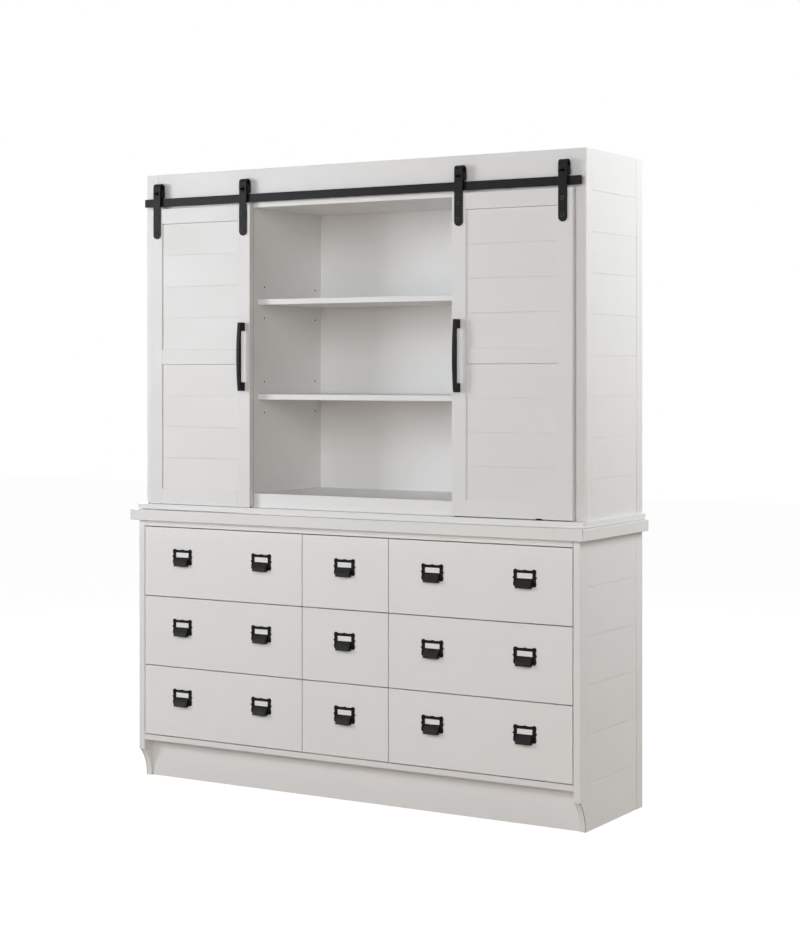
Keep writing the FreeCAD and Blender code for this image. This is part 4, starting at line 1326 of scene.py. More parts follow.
    def runners(self) -> None:
        """The fixed runner channels on the case walls, two for each drawer."""
        piece = Piece("fixed_runners", 27)
        near, far = PLAN.divider_faces
        walls = [(-PLAN.half_inside, 1), (-far, -1), (-near, 1)]
        walls += [(-x, -way) for x, way in walls]
        for row in range(3):
            height = PLAN.case_floor + self.runner_rise + row * PLAN.drawer_pitch
            for x, way in walls:
                piece.add(runner_channel(x, way, height, self.runner_half), ZINC_STEEL, Axis.Y)
        piece.finish("carcass", "drawer_runners")


def jointed_stile(sign: int, front: float, joint: Sequence[Pair]) -> BMesh:
    """A rear side stile whose joint with the planks stands open a little, unevenly along its height.

    Args:
        sign: The sign of its side along X.
        front: The Y of its front edge.
        joint: (height, width) pairs of the open joint, from its foot to its head.

    Returns:
        Its mesh.
    """
    inner, outer = sign * PLAN.half_inside, sign * PLAN.half_case
    depth, ease = sign * 8 * MM, 1.0 * MM
    rings = []
    for z, width in joint:
        plan = [
            (inner, front),
            (outer - depth, front),
            (outer - depth, front + width),
            (outer - sign * ease, front + width),
            (outer - sign * ease * 0.3, front + width + ease * 0.3),
            (outer, front + width + ease),
            (outer, PLAN.back - ease),
            (outer - sign * ease * 0.3, PLAN.back - ease * 0.3),
            (outer - sign * ease, PLAN.back),
            (inner, PLAN.back),
        ]
        rings.append([Vector((px, py, z)) for px, py in plan])
    return skinned(rings)


def runner_channel(seat: float, way: int, height: float, half: float) -> BMesh:
    """A steel runner channel with rounded bends.

    Args:
        seat: The X of the face it lies on.
        way: The sign of the direction its lips point in.
        height: The Z of its middle.
        half: Half its height.

    Returns:
        Its mesh.
    """
    sheet, depth = 1.4 * MM, 9.5 * MM
    outline = [
        (seat, height - half),
        (seat + way * depth, height - half),
        (seat + way * depth, height - half + sheet),
        (seat + way * sheet, height - half + sheet),
        (seat + way * sheet, height + half - sheet),
        (seat + way * depth, height + half - sheet),
        (seat + way * depth, height + half),
        (seat, height + half),
    ]
    part = extruded(outline, Axis.Y, PLAN.runner_span)
    ease_edges(part, 0.35 * MM, 2)
    return part


# ------------------------------------------------------------------ drawers
@dataclass
class CardPull:
    """Black cast pull: a scalloped frame round a label card, with a hooded finger cup below it."""

    plate: float = 4 * MM
    window: Pair = (26.2 * MM, 8.0 * MM)
    window_rise: float = 5.5 * MM
    hood_half: float = 26.5 * MM
    hood_top: float = -4.7 * MM
    hood_bottom: float = -31.2 * MM
    hood_depth: float = 16.5 * MM
    wall: float = 2.2 * MM
    screw: Pair = (30 * MM, 18.5 * MM)
    spread: Pair = (34 * MM, 24 * MM)
    bead: tuple[Triple, ...] = (
        (-0.1, 2.6, 0.0),
        (0.6, 1.9, 0.0),
        (0.8, 1.1, 0.0),
        (0.5, 0.3, 0.2),
        (0.0, 0.0, 0.8),
    )
    drop: float = 1.1
    rim: tuple[Pair, ...] = (
        (0.0, 24.3),
        (2.0, 23.9),
        (5.0, 22.9),
        (10.0, 22.3),
        (18.0, 22.1),
        (24.0, 22.7),
        (28.0, 24.2),
        (31.5, 25.4),
        (35.0, 24.8),
        (37.6, 22.3),
        (38.6, 18.4),
        (38.2, 14.0),
        (37.4, 10.0),
        (37.2, 6.0),
        (38.3, 2.8),
        (41.2, 0.0),
    )

    def outline(self) -> list[Pair]:
        """The frame's scalloped outline, in metres from the plate's middle.

        Returns:
            Its points, once round.
        """
        quarter = [(x * MM, z * MM) for x, z in self.rim]
        right = quarter + [(x, -z * self.drop) for x, z in reversed(quarter[:-1])]
        left = [(-x, z) for x, z in reversed(right[1:-1])]
        return smooth_loop(right + left, 3)

    def inner(self, x: float, z: float) -> Pair:
        """The point of the window's edge that faces a point of the outline.

        Args:
            x: The outline point's X.
            z: Its Z.

        Returns:
            The window's point.
        """
        half_w, half_h = self.window
        across, up = x / self.spread[0], z / self.spread[1]
        size = max(abs(across), abs(up))
        return half_w * across / size, self.window_rise + half_h * up / size

    def frame(self, x: float, z: float) -> BMesh:
        """The frame round the window, with a bead along each edge and a channel between.

        Args:
            x: The X of the plate's middle.
            z: Its Z.

        Returns:
            Its mesh.
        """
        from_rim = ((0.0, 0.0), (0.0, 1.7), (0.35, 2.7), (1.1, 3.6))
        from_rim += ((1.9, 4.0), (2.8, 3.6), (3.4, 2.9), (4.0, 2.6))
        from_window = ((3.4, 2.6), (2.7, 3.1), (1.9, 3.7), (1.1, 3.6), (0.4, 2.9), (0.0, 2.0), (0.0, 0.0))
        rims = [Vector((px, pz)) for px, pz in self.outline()]
        sills = [Vector(self.inner(point.x, point.y)) for point in rims]
        rings = []
        for steps, forward in ((from_rim, True), (from_window, False)):
            for distance, height in steps:
                ring = []
                for rim, sill in zip(rims, sills):
                    way = (sill - rim).normalized()
                    spot = rim + way * distance * MM if forward else sill - way * distance * MM
                    ring.append(Vector((x + spot.x, PLAN.front - height * MM, z + spot.y)))
                rings.append(ring)
        return skinned(rings, True, True)

    def hood(self, x: float, z: float) -> BMesh:
        """The finger cup, curved forward to a beaded lip and open underneath.

        Args:
            x: The X of the plate's middle.
            z: Its Z.

        Returns:
            Its mesh.
        """
        top, bottom, depth = self.hood_top, self.hood_bottom, self.hood_depth - 0.8 * MM
        levels: list[Triple] = []
        steps = 14
        for number in range(steps + 1):
            t = number / steps
            reach = 2 * t * (1 - t) * depth * 0.8 + t * t * depth
            level = (1 - t) ** 2 * top + 2 * t * (1 - t) * (top * 0.63 + bottom * 0.37) + t * t * bottom
            levels.append((reach, level, 0.0))
        lip = levels.pop()
        for forward, up, inset in self.bead:
            levels.append((lip[0] + forward * MM, bottom + up * MM, inset * MM))
        inside = [(max(r - self.wall, 0.2 * MM), l - 0.2 * MM, self.wall) for r, l, _ in levels[:steps]]
        levels += [(lip[0] - self.wall, bottom, self.wall)] + inside[::-1]
        rings = []
        for reach, level, inset in levels:
            half = self.hood_half - inset
            corner = min(4.5 * MM, reach * 0.8)
            plan = [(-half, -0.6 * MM)]
            plan += arc_points((-half + corner, reach - corner), corner, 180, 90, 6)
            plan += arc_points((half - corner, reach - corner), corner, 90, 0, 6)
            plan += [(half, -0.6 * MM)]
            seat = PLAN.front - self.plate + 1.2 * MM
            rings.append([Vector((x + px, seat - py, z + level)) for px, py in plan])
        return skinned(rings, False, True)

    def add_to(self, piece: Piece, x: float, z: float, chance: random.Random) -> None:
        """Adds the whole pull to a piece.

        Args:
            piece: The piece that gets it.
            x: The X of the plate's middle.
            z: Its Z.
            chance: What turns its screws.
        """
        # Frame in the darker copy of the casting, painted shade; hood in the lighter one, painted sheen.
        piece.add(self.frame(x, z), DARKENED_CASTING)
        piece.add(self.hood(x, z), LIGHTENED_CASTING)
        half_w, half_h = self.window
        card_z = (z + self.window_rise - half_h - 1.8 * MM, z + self.window_rise + half_h + 1.8 * MM)
        card_x = (x - half_w - 1.8 * MM, x + half_w + 1.8 * MM)
        piece.board(card_x, (PLAN.front - 0.6 * MM, PLAN.front), card_z, LABEL_CARD, Axis.X, 0.1 * MM)
        for i in (-1, 1):
            for k in (-1, 1):
                place = Vector((x + i * self.screw[0], PLAN.front - 3.4 * MM, z + k * self.screw[1]))
                turn = chance.uniform(0, 90)
                Fasteners.stamp(piece, place, 3.2 * MM, 2.0 * MM, Drive.CROSS, DARKENED_CASTING, turn)


@dataclass
class Drawer:
    """One drawer: its inset front, its box and its pulls."""

    row: int
    column: int
    gap: float = 3 * MM
    height: float = (700 / 3 - 3) * MM
    centre_half: float = 160.5 * MM
    front_thickness: float = 20 * MM
    pull_spacing: float = 320 * MM
    pull_rise: float = 20.5 * MM
    box_rise: float = 26 * MM
    box_board: float = 12 * MM
    box_depth: float = 400 * MM
    box_height: float = 160 * MM
    side_space: float = 12.7 * MM
    runner_rise: float = 40 * MM
    runner_half: float = 20.7 * MM
    pull: CardPull = field(default_factory=CardPull)

    @property
    def place(self) -> str:
        """Its row and column in words."""
        return f"{('bottom', 'middle', 'top')[self.row]}_{('left', 'centre', 'right')[self.column]}"

    def spans(self) -> tuple[Span, Span, Span]:
        """The drawer front's span along X, the bay's span along X and the front's span along Z.

        Returns:
            The three spans.
        """
        low = PLAN.case_floor + self.gap + self.row * PLAN.drawer_pitch
        z = (low, low + self.height)
        if self.column == 1:
            near = PLAN.divider_faces[0]
            return (-self.centre_half, self.centre_half), (-near, near), z
        sign = self.column - 1
        inner = self.centre_half + self.gap
        bay = mirrored(sign, PLAN.divider_faces[1], PLAN.half_inside)
        return mirrored(sign, inner, PLAN.half_inside - self.gap), bay, z

    def build(self) -> None:
        """Builds and dresses the front, the box and the pulls."""
        x, bay, z = self.spans()
        body = f"drawer_{self.place}"
        seed = 100 + 10 * self.row + self.column
        front = Piece(f"front_board_{self.place}", seed)
        # The front takes the lighter copy of the white paint: painted light.
        front.board(x, (PLAN.front, PLAN.front + self.front_thickness), z, DRAWER_LIGHT_PAINT, Axis.X, 1.4 * MM)
        front.finish(body, f"drawer_front_{self.place}")
        self.box(bay, z[0] + self.box_rise, body, seed)
        pulls = Piece(f"card_pull_{self.place}", seed)
        chance = random.Random(seed)
        middle = (x[0] + x[1]) / 2
        shifts = (0.0,) if self.column == 1 else (-self.pull_spacing / 2, self.pull_spacing / 2)
        for shift in shifts:
            self.pull.add_to(pulls, middle + shift, (z[0] + z[1]) / 2 + self.pull_rise, chance)
        pulls.finish(body, f"drawer_pulls_{self.place}", sharp=50.0)

    def box(self, bay: Span, low: float, body: str, seed: int) -> None:
        """The drawer box with its moving runner channels.

        Args:
            bay: The clear span between the case walls.
            low: The box's lower edge.
            body: The body it rides on.
            seed: What its chance values start from.
        """
        piece = Piece(f"drawer_tray_{self.place}", seed + 50)
        board, space = self.box_board, self.side_space
        x = (bay[0] + space, bay[1] - space)
        front = PLAN.front + self.front_thickness
        y, z = (front, front + self.box_depth), (low, low + self.box_height)
        for side_x in ((x[0], x[0] + board), (x[1] - board, x[1])):
            piece.board(side_x, y, z, DRAWER_WOOD, Axis.Y, 1.5 * MM)
        for end_y in ((y[0], y[0] + board), (y[1] - board, y[1])):
            piece.board((x[0] + board, x[1] - board), end_y, z, DRAWER_WOOD, Axis.X, 1.5 * MM)
        bottom_x, bottom_y = ((span[0] + board / 2, span[1] - board / 2) for span in (x, y))
        bottom_z = (low + 10 * MM, low + 16 * MM)
        piece.board(bottom_x, bottom_y, bottom_z, DRAWER_WOOD, Axis.X, 0.5 * MM)
        for seat, way in ((x[0], -1), (x[1], 1)):
            piece.add(runner_channel(seat, way, low + self.runner_rise, self.runner_half), ZINC_STEEL, Axis.Y)
        piece.finish(body, f"drawer_box_{self.place}")


# ------------------------------------------------------------------ upper case
@dataclass
class UpperCase:
    """The hutch: a base board, corner posts, header, planked sides and an open bay with two shelves."""

    post_width: float = 48 * MM
    post_depth: float = 39 * MM
    rear_stile: float = 45 * MM
    planks: int = 9
    board: float = 19 * MM
    base_half: float = 834.5 * MM
    base_front: float = -207 * MM
    shelf: float = 18 * MM
    shelf_half: float = 380.4 * MM
    shelf_y: Span = (-147 * MM, 227 * MM)
    pin_radius: float = 3.2 * MM
    pin_levels: tuple[float, ...] = (1275 * MM, 1587 * MM)
    pin_rows: Pair = (-108 * MM, 194 * MM)
    rear_joint: tuple[Pair, ...] = (
        (922 * MM, 1.6 * MM),
        (1250 * MM, 1.5 * MM),
        (1500 * MM, 1.6 * MM),
        (1700 * MM, 2.9 * MM),
        (1770 * MM, 2.3 * MM),
        (1890 * MM, 0.7 * MM),
        (2032 * MM, 0.3 * MM),
    )
    corner_joint: tuple[Pair, ...] = (
        (921 * MM, 0.5 * MM),
        (1080 * MM, 0.5 * MM),
        (1180 * MM, 0.9 * MM),
        (1300 * MM, 0.4 * MM),
        (1700 * MM, 0.4 * MM),
        (1780 * MM, 1.3 * MM),
        (1835 * MM, 1.2 * MM),
        (1880 * MM, 0.2 * MM),
        (2033 * MM, 0.1 * MM),
    )
    pin_step: float = 51 * MM
    pin_rise: float = 8 * MM

    def build(self) -> None:
        """Builds and dresses every piece of the upper case."""
        self.base_board()
        self.face()
        for side in Side:
            self.side_panel(side)
        self.dividers()
        self.decks()
        self.back()
        self.shelves()
        self.pins()

    def base_board(self) -> None:
        """The thin board under the hutch."""
        piece = Piece("hutch_plinth_board", 41)
        half, front = self.base_half, self.base_front
        # Its underside rises towards the ends, which leaves a narrow gap over the dresser's top.
        outline = [
            (-half, PLAN.board_under + 1.7 * MM),
            (-520 * MM, PLAN.board_under + 1.5 * MM),
            (-330 * MM, PLAN.board_under + 0.05 * MM),
            (200 * MM, PLAN.board_under + 0.05 * MM),
            (half - 16 * MM, PLAN.board_under + 0.45 * MM),
            (half - 14 * MM, PLAN.board_under + 1.1 * MM),
            (half, PLAN.board_under + 1.1 * MM),
            (half, PLAN.hutch_floor),
            (-half, PLAN.hutch_floor),
        ]
        board = extruded(outline, Axis.Y, (front, PLAN.back))
        ease_edges(board, 0.7 * MM)
        piece.add(board, WHITE_PAINT, Axis.X)
        # A near-black sliver at the right front corner: painted shade of a small gap there.
        gap_shade_x, gap_shade_y = (half - 0.8 * MM, half + 0.06 * MM), (front - 0.06 * MM, front + 1.6 * MM)
        piece.board(gap_shade_x, gap_shade_y, (913 * MM, 918.5 * MM), CREVICE_SHADE, Axis.Z, 0.1 * MM)
        piece.finish("carcass", "hutch_base_board")

    def face(self) -> None:
        """The corner posts, the header and the bottom rail."""
        piece = Piece("hutch_face", 42)
        inner, cut_y = PLAN.half_case - self.post_width, (PLAN.hutch_face - 1 * MM, PLAN.hutch_face + 6 * MM)
        for sign in (-1, 1):
            x = mirrored(sign, inner, PLAN.half_case)
            y = (PLAN.hutch_face, PLAN.hutch_face + self.post_depth)
            edge = PLAN.half_case - 1.0 * MM
            levels = [(z, mirrored(sign, edge - width, edge), cut_y) for z, width in self.corner_joint]
            piece.board(x, y, (PLAN.hutch_floor, PLAN.hutch_top), WHITE_PAINT, Axis.Z, cuts=[slit(levels)])
        y = (PLAN.hutch_face, PLAN.face_back)
        piece.board((-inner, inner), y, (PLAN.bay_ceiling, PLAN.hutch_top), WHITE_PAINT, Axis.X)
        piece.board((-inner, inner), y, (PLAN.hutch_floor, PLAN.bay_floor), WHITE_PAINT, Axis.X)
        piece.finish("carcass", "hutch_face_frame")

    def side_panel(self, side: Side) -> None:
        """One side of the hutch behind its post.

        Args:
            side: Which side it is.
        """
        piece = Piece(f"hutch_side_{side.word}", 44 + side.value)
        sign = side.value
        x = mirrored(sign, PLAN.half_inside, PLAN.half_case)
        field_y = (PLAN.hutch_face + self.post_depth, PLAN.back - self.rear_stile)
        piece.add(jointed_stile(sign, field_y[1], self.rear_joint), WHITE_PAINT, Axis.Z)
        cover = (PLAN.hutch_top - PLAN.hutch_floor) / self.planks
        for number in range(self.planks):
            low = PLAN.hutch_floor + number * cover
            outer = (Axis.X, sign * PLAN.half_case)
            vee = piece.chance.uniform(1.0, 1.8) * MM
            piece.board(x, field_y, (low, low + cover), WHITE_PAINT, Axis.Y, 0.8 * MM, outer, vee)
        piece.finish("carcass", f"hutch_side_panel_{side.word}")

    def dividers(self) -> None:
        """The walls of the open bay, drilled for the shelf pins."""
        piece = Piece("bay_walls", 46)
        for sign in (-1, 1):
            inner = sign * PLAN.half_bay
            x = mirrored(sign, PLAN.half_bay, PLAN.half_bay + self.board)
            y = (PLAN.hutch_face, PLAN.panel_front)
            wall = extruded(rectangle(x, y), Axis.Z, (PLAN.bay_floor, PLAN.bay_ceiling))
            ease_edges(wall, 0.8 * MM)
            holes, centres = [], []
            for level in self.pin_levels:
                for step in (-1, 0, 1):
                    centres += [(row, level + self.pin_rise + step * self.pin_step) for row in self.pin_rows]
            for centre in centres:
                span = mirrored(sign, PLAN.half_bay - 2 * MM, PLAN.half_bay + 9 * MM)
                holes.append(extruded(circle_points(centre, self.pin_radius), Axis.X, span))
            piece.add(carved(wall, holes), WHITE_PAINT, Axis.Z)
            # Near-black sleeves in the pin holes: painted shade.
            for centre in centres:
                piece.add(self.pin_hole_shade(centre, inner, sign), CREVICE_SHADE)
        piece.finish("carcass", "hutch_dividers")

    def pin_hole_shade(self, centre: Pair, face: float, sign: int) -> BMesh:
        """A near-black sleeve inside one pin hole: painted shade.

        Args:
            centre: The Y and Z of its middle.
            face: The X of the wall's face.
            sign: The sign of the wall's side along X.

        Returns:
            Its mesh.
        """
        rings = []
        narrow, wide = self.pin_radius - 0.3 * MM, self.pin_radius - 0.02 * MM
        for radius, depth in ((narrow, 8.4), (narrow, 0.4), (wide, 0.4), (wide, 8.8)):
            ring = circle_points(centre, radius)
            rings.append([Vector((face + sign * depth * MM, y, z)) for y, z in ring])
        return skinned(rings)

    def deck(self, z: Span) -> BMesh:
        """A level panel between the sides, notched round the posts.

        Args:
            z: Its span along Z.

        Returns:
            Its mesh.
        """
        post = PLAN.half_case - self.post_width
        step = PLAN.hutch_face + self.post_depth
        end = PLAN.half_inside
        right = [(post, PLAN.face_back), (post, step), (end, step), (end, PLAN.panel_front)]
        outline = right + [(-x, y) for x, y in reversed(right)]
        part = extruded(outline, Axis.Z, z)
        ease_edges(part, 0.8 * MM, 2)
        return part

    def decks(self) -> None:
        """The floor and ceiling of the bays, and the hutch's top."""
        piece = Piece("bay_floor_and_ceiling", 47)
        piece.add(self.deck((PLAN.bay_floor - self.board, PLAN.bay_floor)), WHITE_PAINT, Axis.X)
        piece.add(self.deck((PLAN.bay_ceiling, PLAN.bay_ceiling + self.board)), WHITE_PAINT, Axis.X)
        piece.finish("carcass", "hutch_floor_and_ceiling")
        top = Piece("hutch_top_board", 48)
        top.add(self.deck((PLAN.hutch_top - self.board, PLAN.hutch_top)), WHITE_PAINT, Axis.X)
        top.finish("carcass", "hutch_top_panel")

    def back(self) -> None:
        """The thin back panel."""
        piece = Piece("hutch_back_board", 49)
        x = (-PLAN.half_inside, PLAN.half_inside)
        z = (PLAN.hutch_floor, PLAN.hutch_top)
        piece.board(x, (PLAN.panel_front, PLAN.back), z, PAINTED_BACK, Axis.Z, 0.6 * MM)
        piece.finish("carcass", "hutch_back_panel")

    def shelves(self) -> None:
        """The two adjustable shelves."""
        piece = Piece("bay_shelves", 50)
        x = (-self.shelf_half, self.shelf_half)
        for level in self.pin_levels:
            z = (level, level + self.shelf)
            piece.board(x, self.shelf_y, z, WHITE_PAINT, Axis.X, 1.3 * MM)
        piece.finish("carcass", "hutch_shelves")

    def pins(self) -> None:
        """The steel pins under the shelves."""
        piece = Piece("steel_shelf_pins", 51)
        sheet, tongue, leaf = 1.2 * MM, 12 * MM, 14.8 * MM
        for level in self.pin_levels:
            for sign in (-1, 1):
                wall = sign * PLAN.half_bay
                outline = [
                    (wall, level - sheet),
                    (wall - sign * tongue, level - sheet),
                    (wall - sign * tongue, level),
                    (wall - sign * sheet, level),
                    (wall - sign * sheet, level + leaf),
                    (wall, level + leaf),
                ]
                for row in self.pin_rows:
                    plate = extruded(outline, Axis.Y, (row - 7 * MM, row + 7 * MM))
                    ease_edges(plate, 0.3 * MM, 2)
                    piece.add(plate, ZINC_STEEL)
                    span = mirrored(sign, PLAN.half_bay - 2.0 * MM, PLAN.half_bay + 8.9 * MM)
                    stem = extruded(circle_points((row, level + self.pin_rise), 2.5 * MM), Axis.X, span)
                    ease_edges(stem, 0.4 * MM, 2, 60.0)
                    piece.add(stem, ZINC_STEEL)
        piece.finish("carcass", "shelf_pins")


# ------------------------------------------------------------------ rail and its fittings
@dataclass
class DoorTrack:
    """The flat rail, its bolts and spacers, and the guides under the doors."""

    half_length: float = 818 * MM
    thickness: float = 5 * MM
    bolt_reach: float = 720 * MM
    bolts: int = 5
    bolt_radius: float = 2.9 * MM
    seat_radius: float = 3.1 * MM
    rail_skin: float = 2.4 * MM
    spacer_radius: float = 8 * MM
    corner: float = 3 * MM
    guides: Pair = (396 * MM, 680 * MM)

    def build(self) -> None:
        """Builds and dresses the rail and the fittings."""
        front, back = PLAN.rail_y - self.thickness / 2, PLAN.rail_y + self.thickness / 2
        middle = (PLAN.rail_low + PLAN.rail_high) / 2
        places = [-self.bolt_reach + 2 * self.bolt_reach * n / (self.bolts - 1) for n in range(self.bolts)]
        rail = Piece("flat_rail", 61)
        outline = rounded_bar(self.half_length, PLAN.rail_high - middle, self.corner, middle, 6)
        bar = extruded(outline, Axis.Y, (front, back))
        ease_edges(bar, 0.7 * MM, 3, 50.0)
        seats = []
        for x in places:
            profile = [(self.seat_radius, front + self.rail_skin), (self.seat_radius, back + 1 * MM)]
            seats.append(turned(profile, Vector((x, 0, middle)), 32))
        rail.add(carved(bar, seats), BLACK_IRON, Axis.X)
        rail.finish("carcass", "door_rail")
        fittings = Piece("rail_bolts_and_guides", 62)
        for x in places:
            reach = (front + 2.5 * MM, PLAN.hutch_face + 16 * MM)
            Fasteners.shank(fittings, x, reach, middle, self.bolt_radius, BLACK_IRON)
            tube = [(self.spacer_radius, back), (self.spacer_radius, PLAN.hutch_face)]
            spacer = turned(tube, Vector((x, 0, middle)), 32)
            ease_edges(spacer, 0.5 * MM, 2, 60.0)
            fittings.add(spacer, BLACK_IRON)
        self.add_guides(fittings)
        fittings.finish("carcass", "door_track_fittings")

    def add_guides(self, piece: Piece) -> None:
        """Adds the door guides.

        Args:
            piece: The piece that gets them.
        """
        middle = (PLAN.door_front + PLAN.door_back) / 2
        low, foot = PLAN.hutch_floor, PLAN.door_bottom - 0.6 * MM
        fin, lip = 1.5 * MM, PLAN.door_front - 2 * MM
        outline = [
            (lip - 2.5 * MM, low),
            (lip - 2.5 * MM, low + 5 * MM),
            (lip, low + 5 * MM),
            (lip, foot),
            (middle - fin, foot),
            (middle - fin, foot + 11 * MM),
            (middle + fin, foot + 11 * MM),
            (middle + fin, foot),
            (middle + 6 * MM, foot),
            (middle + 6 * MM, low),
        ]
        plain = [
            (middle - 6 * MM, low),
            (middle + 6 * MM, low),
            (middle + 6 * MM, foot),
            (middle + fin, foot),
            (middle + fin, foot + 11 * MM),
            (middle - fin, foot + 11 * MM),
            (middle - fin, foot),
            (middle - 6 * MM, foot),
        ]
        for sign in (-1, 1):
            for x in self.guides:
                shape = outline if sign * x == max(self.guides) else plain
                part = extruded(shape, Axis.X, (sign * x - 10 * MM, sign * x + 10 * MM))
                ease_edges(part, 0.4 * MM, 2)
                piece.add(part, WHEEL_NYLON)


# ------------------------------------------------------------------ sliding doors
@dataclass
class SlidingDoor:
    """One planked door with its handle, hangers and wheels."""

    side: Side
    stile: float = 49 * MM
    top_rail: float = 51 * MM
    middle_rail: float = 50 * MM
    bottom_rail: float = 49 * MM
    middle_height: float = 491 * MM
    planks: int = 4
    plank_recess: float = 5 * MM
    plank_thickness: float = 10 * MM
    shadow_gap: float = 1.1 * MM
    kerf: Pair = (5 * MM, 13 * MM)
    hanger_inset: Pair = (25 * MM, 30 * MM)

    @property
    def body(self) -> str:
        """The body the door is."""
        return f"door_{self.side.word}"

    @property
    def seed(self) -> int:
        """What its chance values start from."""
        return 200 + self.side.value

    def across(self, near: float, far: float) -> Span:
        """The span between two distances from the middle, on this door's side."""
        return mirrored(self.side.value, near, far)

    def build(self) -> None:
        """Builds and dresses the door and what hangs it."""
        self.frame()
        self.field()
        self.handle()
        hangers = Piece(f"strap_hangers_{self.side.word}", self.seed + 20)
        inner = PLAN.door_inner + self.hanger_inset[0]
        outer = PLAN.door_outer - self.hanger_inset[1]
        for place, x in (("inner", inner), ("outer", outer)):
            self.hanger(hangers, self.side.value * x)
            self.wheel(self.side.value * x, place)
        hangers.finish(self.body, f"door_hangers_{self.side.word}", sharp=45.0)

    def slotted(self, x: Span, z: Span) -> BMesh:
        """A frame board with the guides' slot in its lower edge, and a small lip in front of it.

        Args:
            x: Its span along X.
            z: Its span along Z.

        Returns:
            Its mesh.
        """
        front, back = PLAN.door_front, PLAN.door_back
        middle = (front + back) / 2
        half, depth = self.kerf[0] / 2, self.kerf[1]
        lip = 2.1 * MM if self.side is Side.LEFT else 0.2 * MM
        outline = [
            (front, z[0] - lip),
            (front + 3 * MM, z[0] - lip),
            (front + 3 * MM, z[0]),
            (middle - half, z[0]),
            (middle - half, z[0] + depth),
            (middle + half, z[0] + depth),
            (middle + half, z[0]),
            (back, z[0]),
            (back, z[1]),
            (front, z[1]),
        ]
        part = extruded(outline, Axis.X, x)
        ease_edges(part, 1.1 * MM)
        return part

    def frame(self) -> None:
        """The two stiles and three rails."""
        # Frame and planks take the darker copy of the white paint: painted shade.
        piece = Piece(f"door_frame_boards_{self.side.word}", self.seed)
        z = (PLAN.door_bottom, PLAN.door_top)
        inner, outer = PLAN.door_inner, PLAN.door_outer
        for span in (self.across(inner, inner + self.stile), self.across(outer - self.stile, outer)):
            piece.add(self.slotted(span, z), DOOR_SHADE_PAINT, Axis.Z)
        field_x = self.across(inner + self.stile, outer - self.stile)
        y = (PLAN.door_front, PLAN.door_back)
        middle = z[0] + self.middle_height
        piece.add(self.slotted(field_x, (z[0], z[0] + self.bottom_rail)), DOOR_SHADE_PAINT, Axis.X)
        rails = ((middle - self.middle_rail / 2, middle + self.middle_rail / 2), (z[1] - self.top_rail, z[1]))
        for rail in rails:
            piece.board(field_x, y, rail, DOOR_SHADE_PAINT, Axis.X, 1.1 * MM)
        piece.finish(self.body, f"door_frame_{self.side.word}")

    def field(self) -> None:
        """The planks between the frame's boards, with a tongue behind the narrow gap over each field."""
        piece = Piece(f"door_plank_boards_{self.side.word}", self.seed + 10)
        tuck = 3 * MM
        x = self.across(PLAN.door_inner + self.stile - tuck, PLAN.door_outer - self.stile + tuck)
        front = PLAN.door_front + self.plank_recess
        y = (front, front + self.plank_thickness)
        middle = PLAN.door_bottom + self.middle_height
        fields = (
            (PLAN.door_bottom + self.bottom_rail, middle - self.middle_rail / 2),
            (middle + self.middle_rail / 2, PLAN.door_top - self.top_rail),
        )
        for low, high in fields:
            cover = (high - low) / self.planks
            for number in range(self.planks):
                z = [low + number * cover, low + (number + 1) * cover]
                if number == 0:
                    z[0] -= tuck
                vee = piece.chance.uniform(0.8, 1.5) * MM
                if number == self.planks - 1:
                    z[1] -= self.shadow_gap
                    vee = 0.3 * MM
                    tongue = (front + self.plank_thickness - 3 * MM, front + self.plank_thickness)
                    piece.board(x, tongue, (z[1] - tuck, high + tuck), DOOR_SHADE_PAINT, Axis.X, 0.3 * MM)
                piece.board(x, y, (z[0], z[1]), DOOR_SHADE_PAINT, Axis.X, 0.6 * MM, (Axis.Y, front), vee)
        piece.finish(self.body, f"door_planks_{self.side.word}")

    def handle(self) -> None:
        """The bowed bar handle on its two feet, with its screws behind the door."""
        piece = Piece(f"bow_handle_{self.side.word}", self.seed + 30)
        x = self.side.value * (PLAN.door_inner + self.stile / 2)
        middle = PLAN.door_bottom + self.middle_height
        half, foot, gap, end, bow = 112 * MM, 28 * MM, 20.5 * MM, 5.5 * MM, 7.5 * MM
        seat, back = PLAN.door_front, PLAN.door_front - gap
        face = back - end
        low, high, bend = middle - half, middle + half, 5 * MM
        lower, upper = low + foot, high - foot
        outline = [(seat, low), (seat, lower - 2 * MM), (seat - 1 * MM, lower)]
        outline += arc_points((back + bend, lower + bend), bend, -90, -180, 6)
        outline += arc_points((back + bend, upper - bend), bend, 180, 90, 6)
        outline += [(seat - 1 * MM, upper), (seat, upper + 2 * MM), (seat, high)]
        outline += arc_through((face, high), (face - bow, middle), (face, low), 40)
        bar = extruded(outline, Axis.X, (x - 6 * MM, x + 6 * MM))
        ease_edges(bar, 1.3 * MM, 3, 35.0)
        piece.add(bar, BLACK_IRON, Axis.Z)
        for z in (low + foot / 2, high - foot / 2):
            behind = Vector((x, PLAN.door_back, z))
            Fasteners.stamp(piece, behind, 4 * MM, 2.2 * MM, Drive.CROSS, BLACK_IRON, 20.0, True)
            Fasteners.shank(piece, x, (PLAN.door_front - 8 * MM, PLAN.door_back), z, 2 * MM, BLACK_IRON)
        piece.finish(self.body, f"door_handle_{self.side.word}", sharp=45.0)

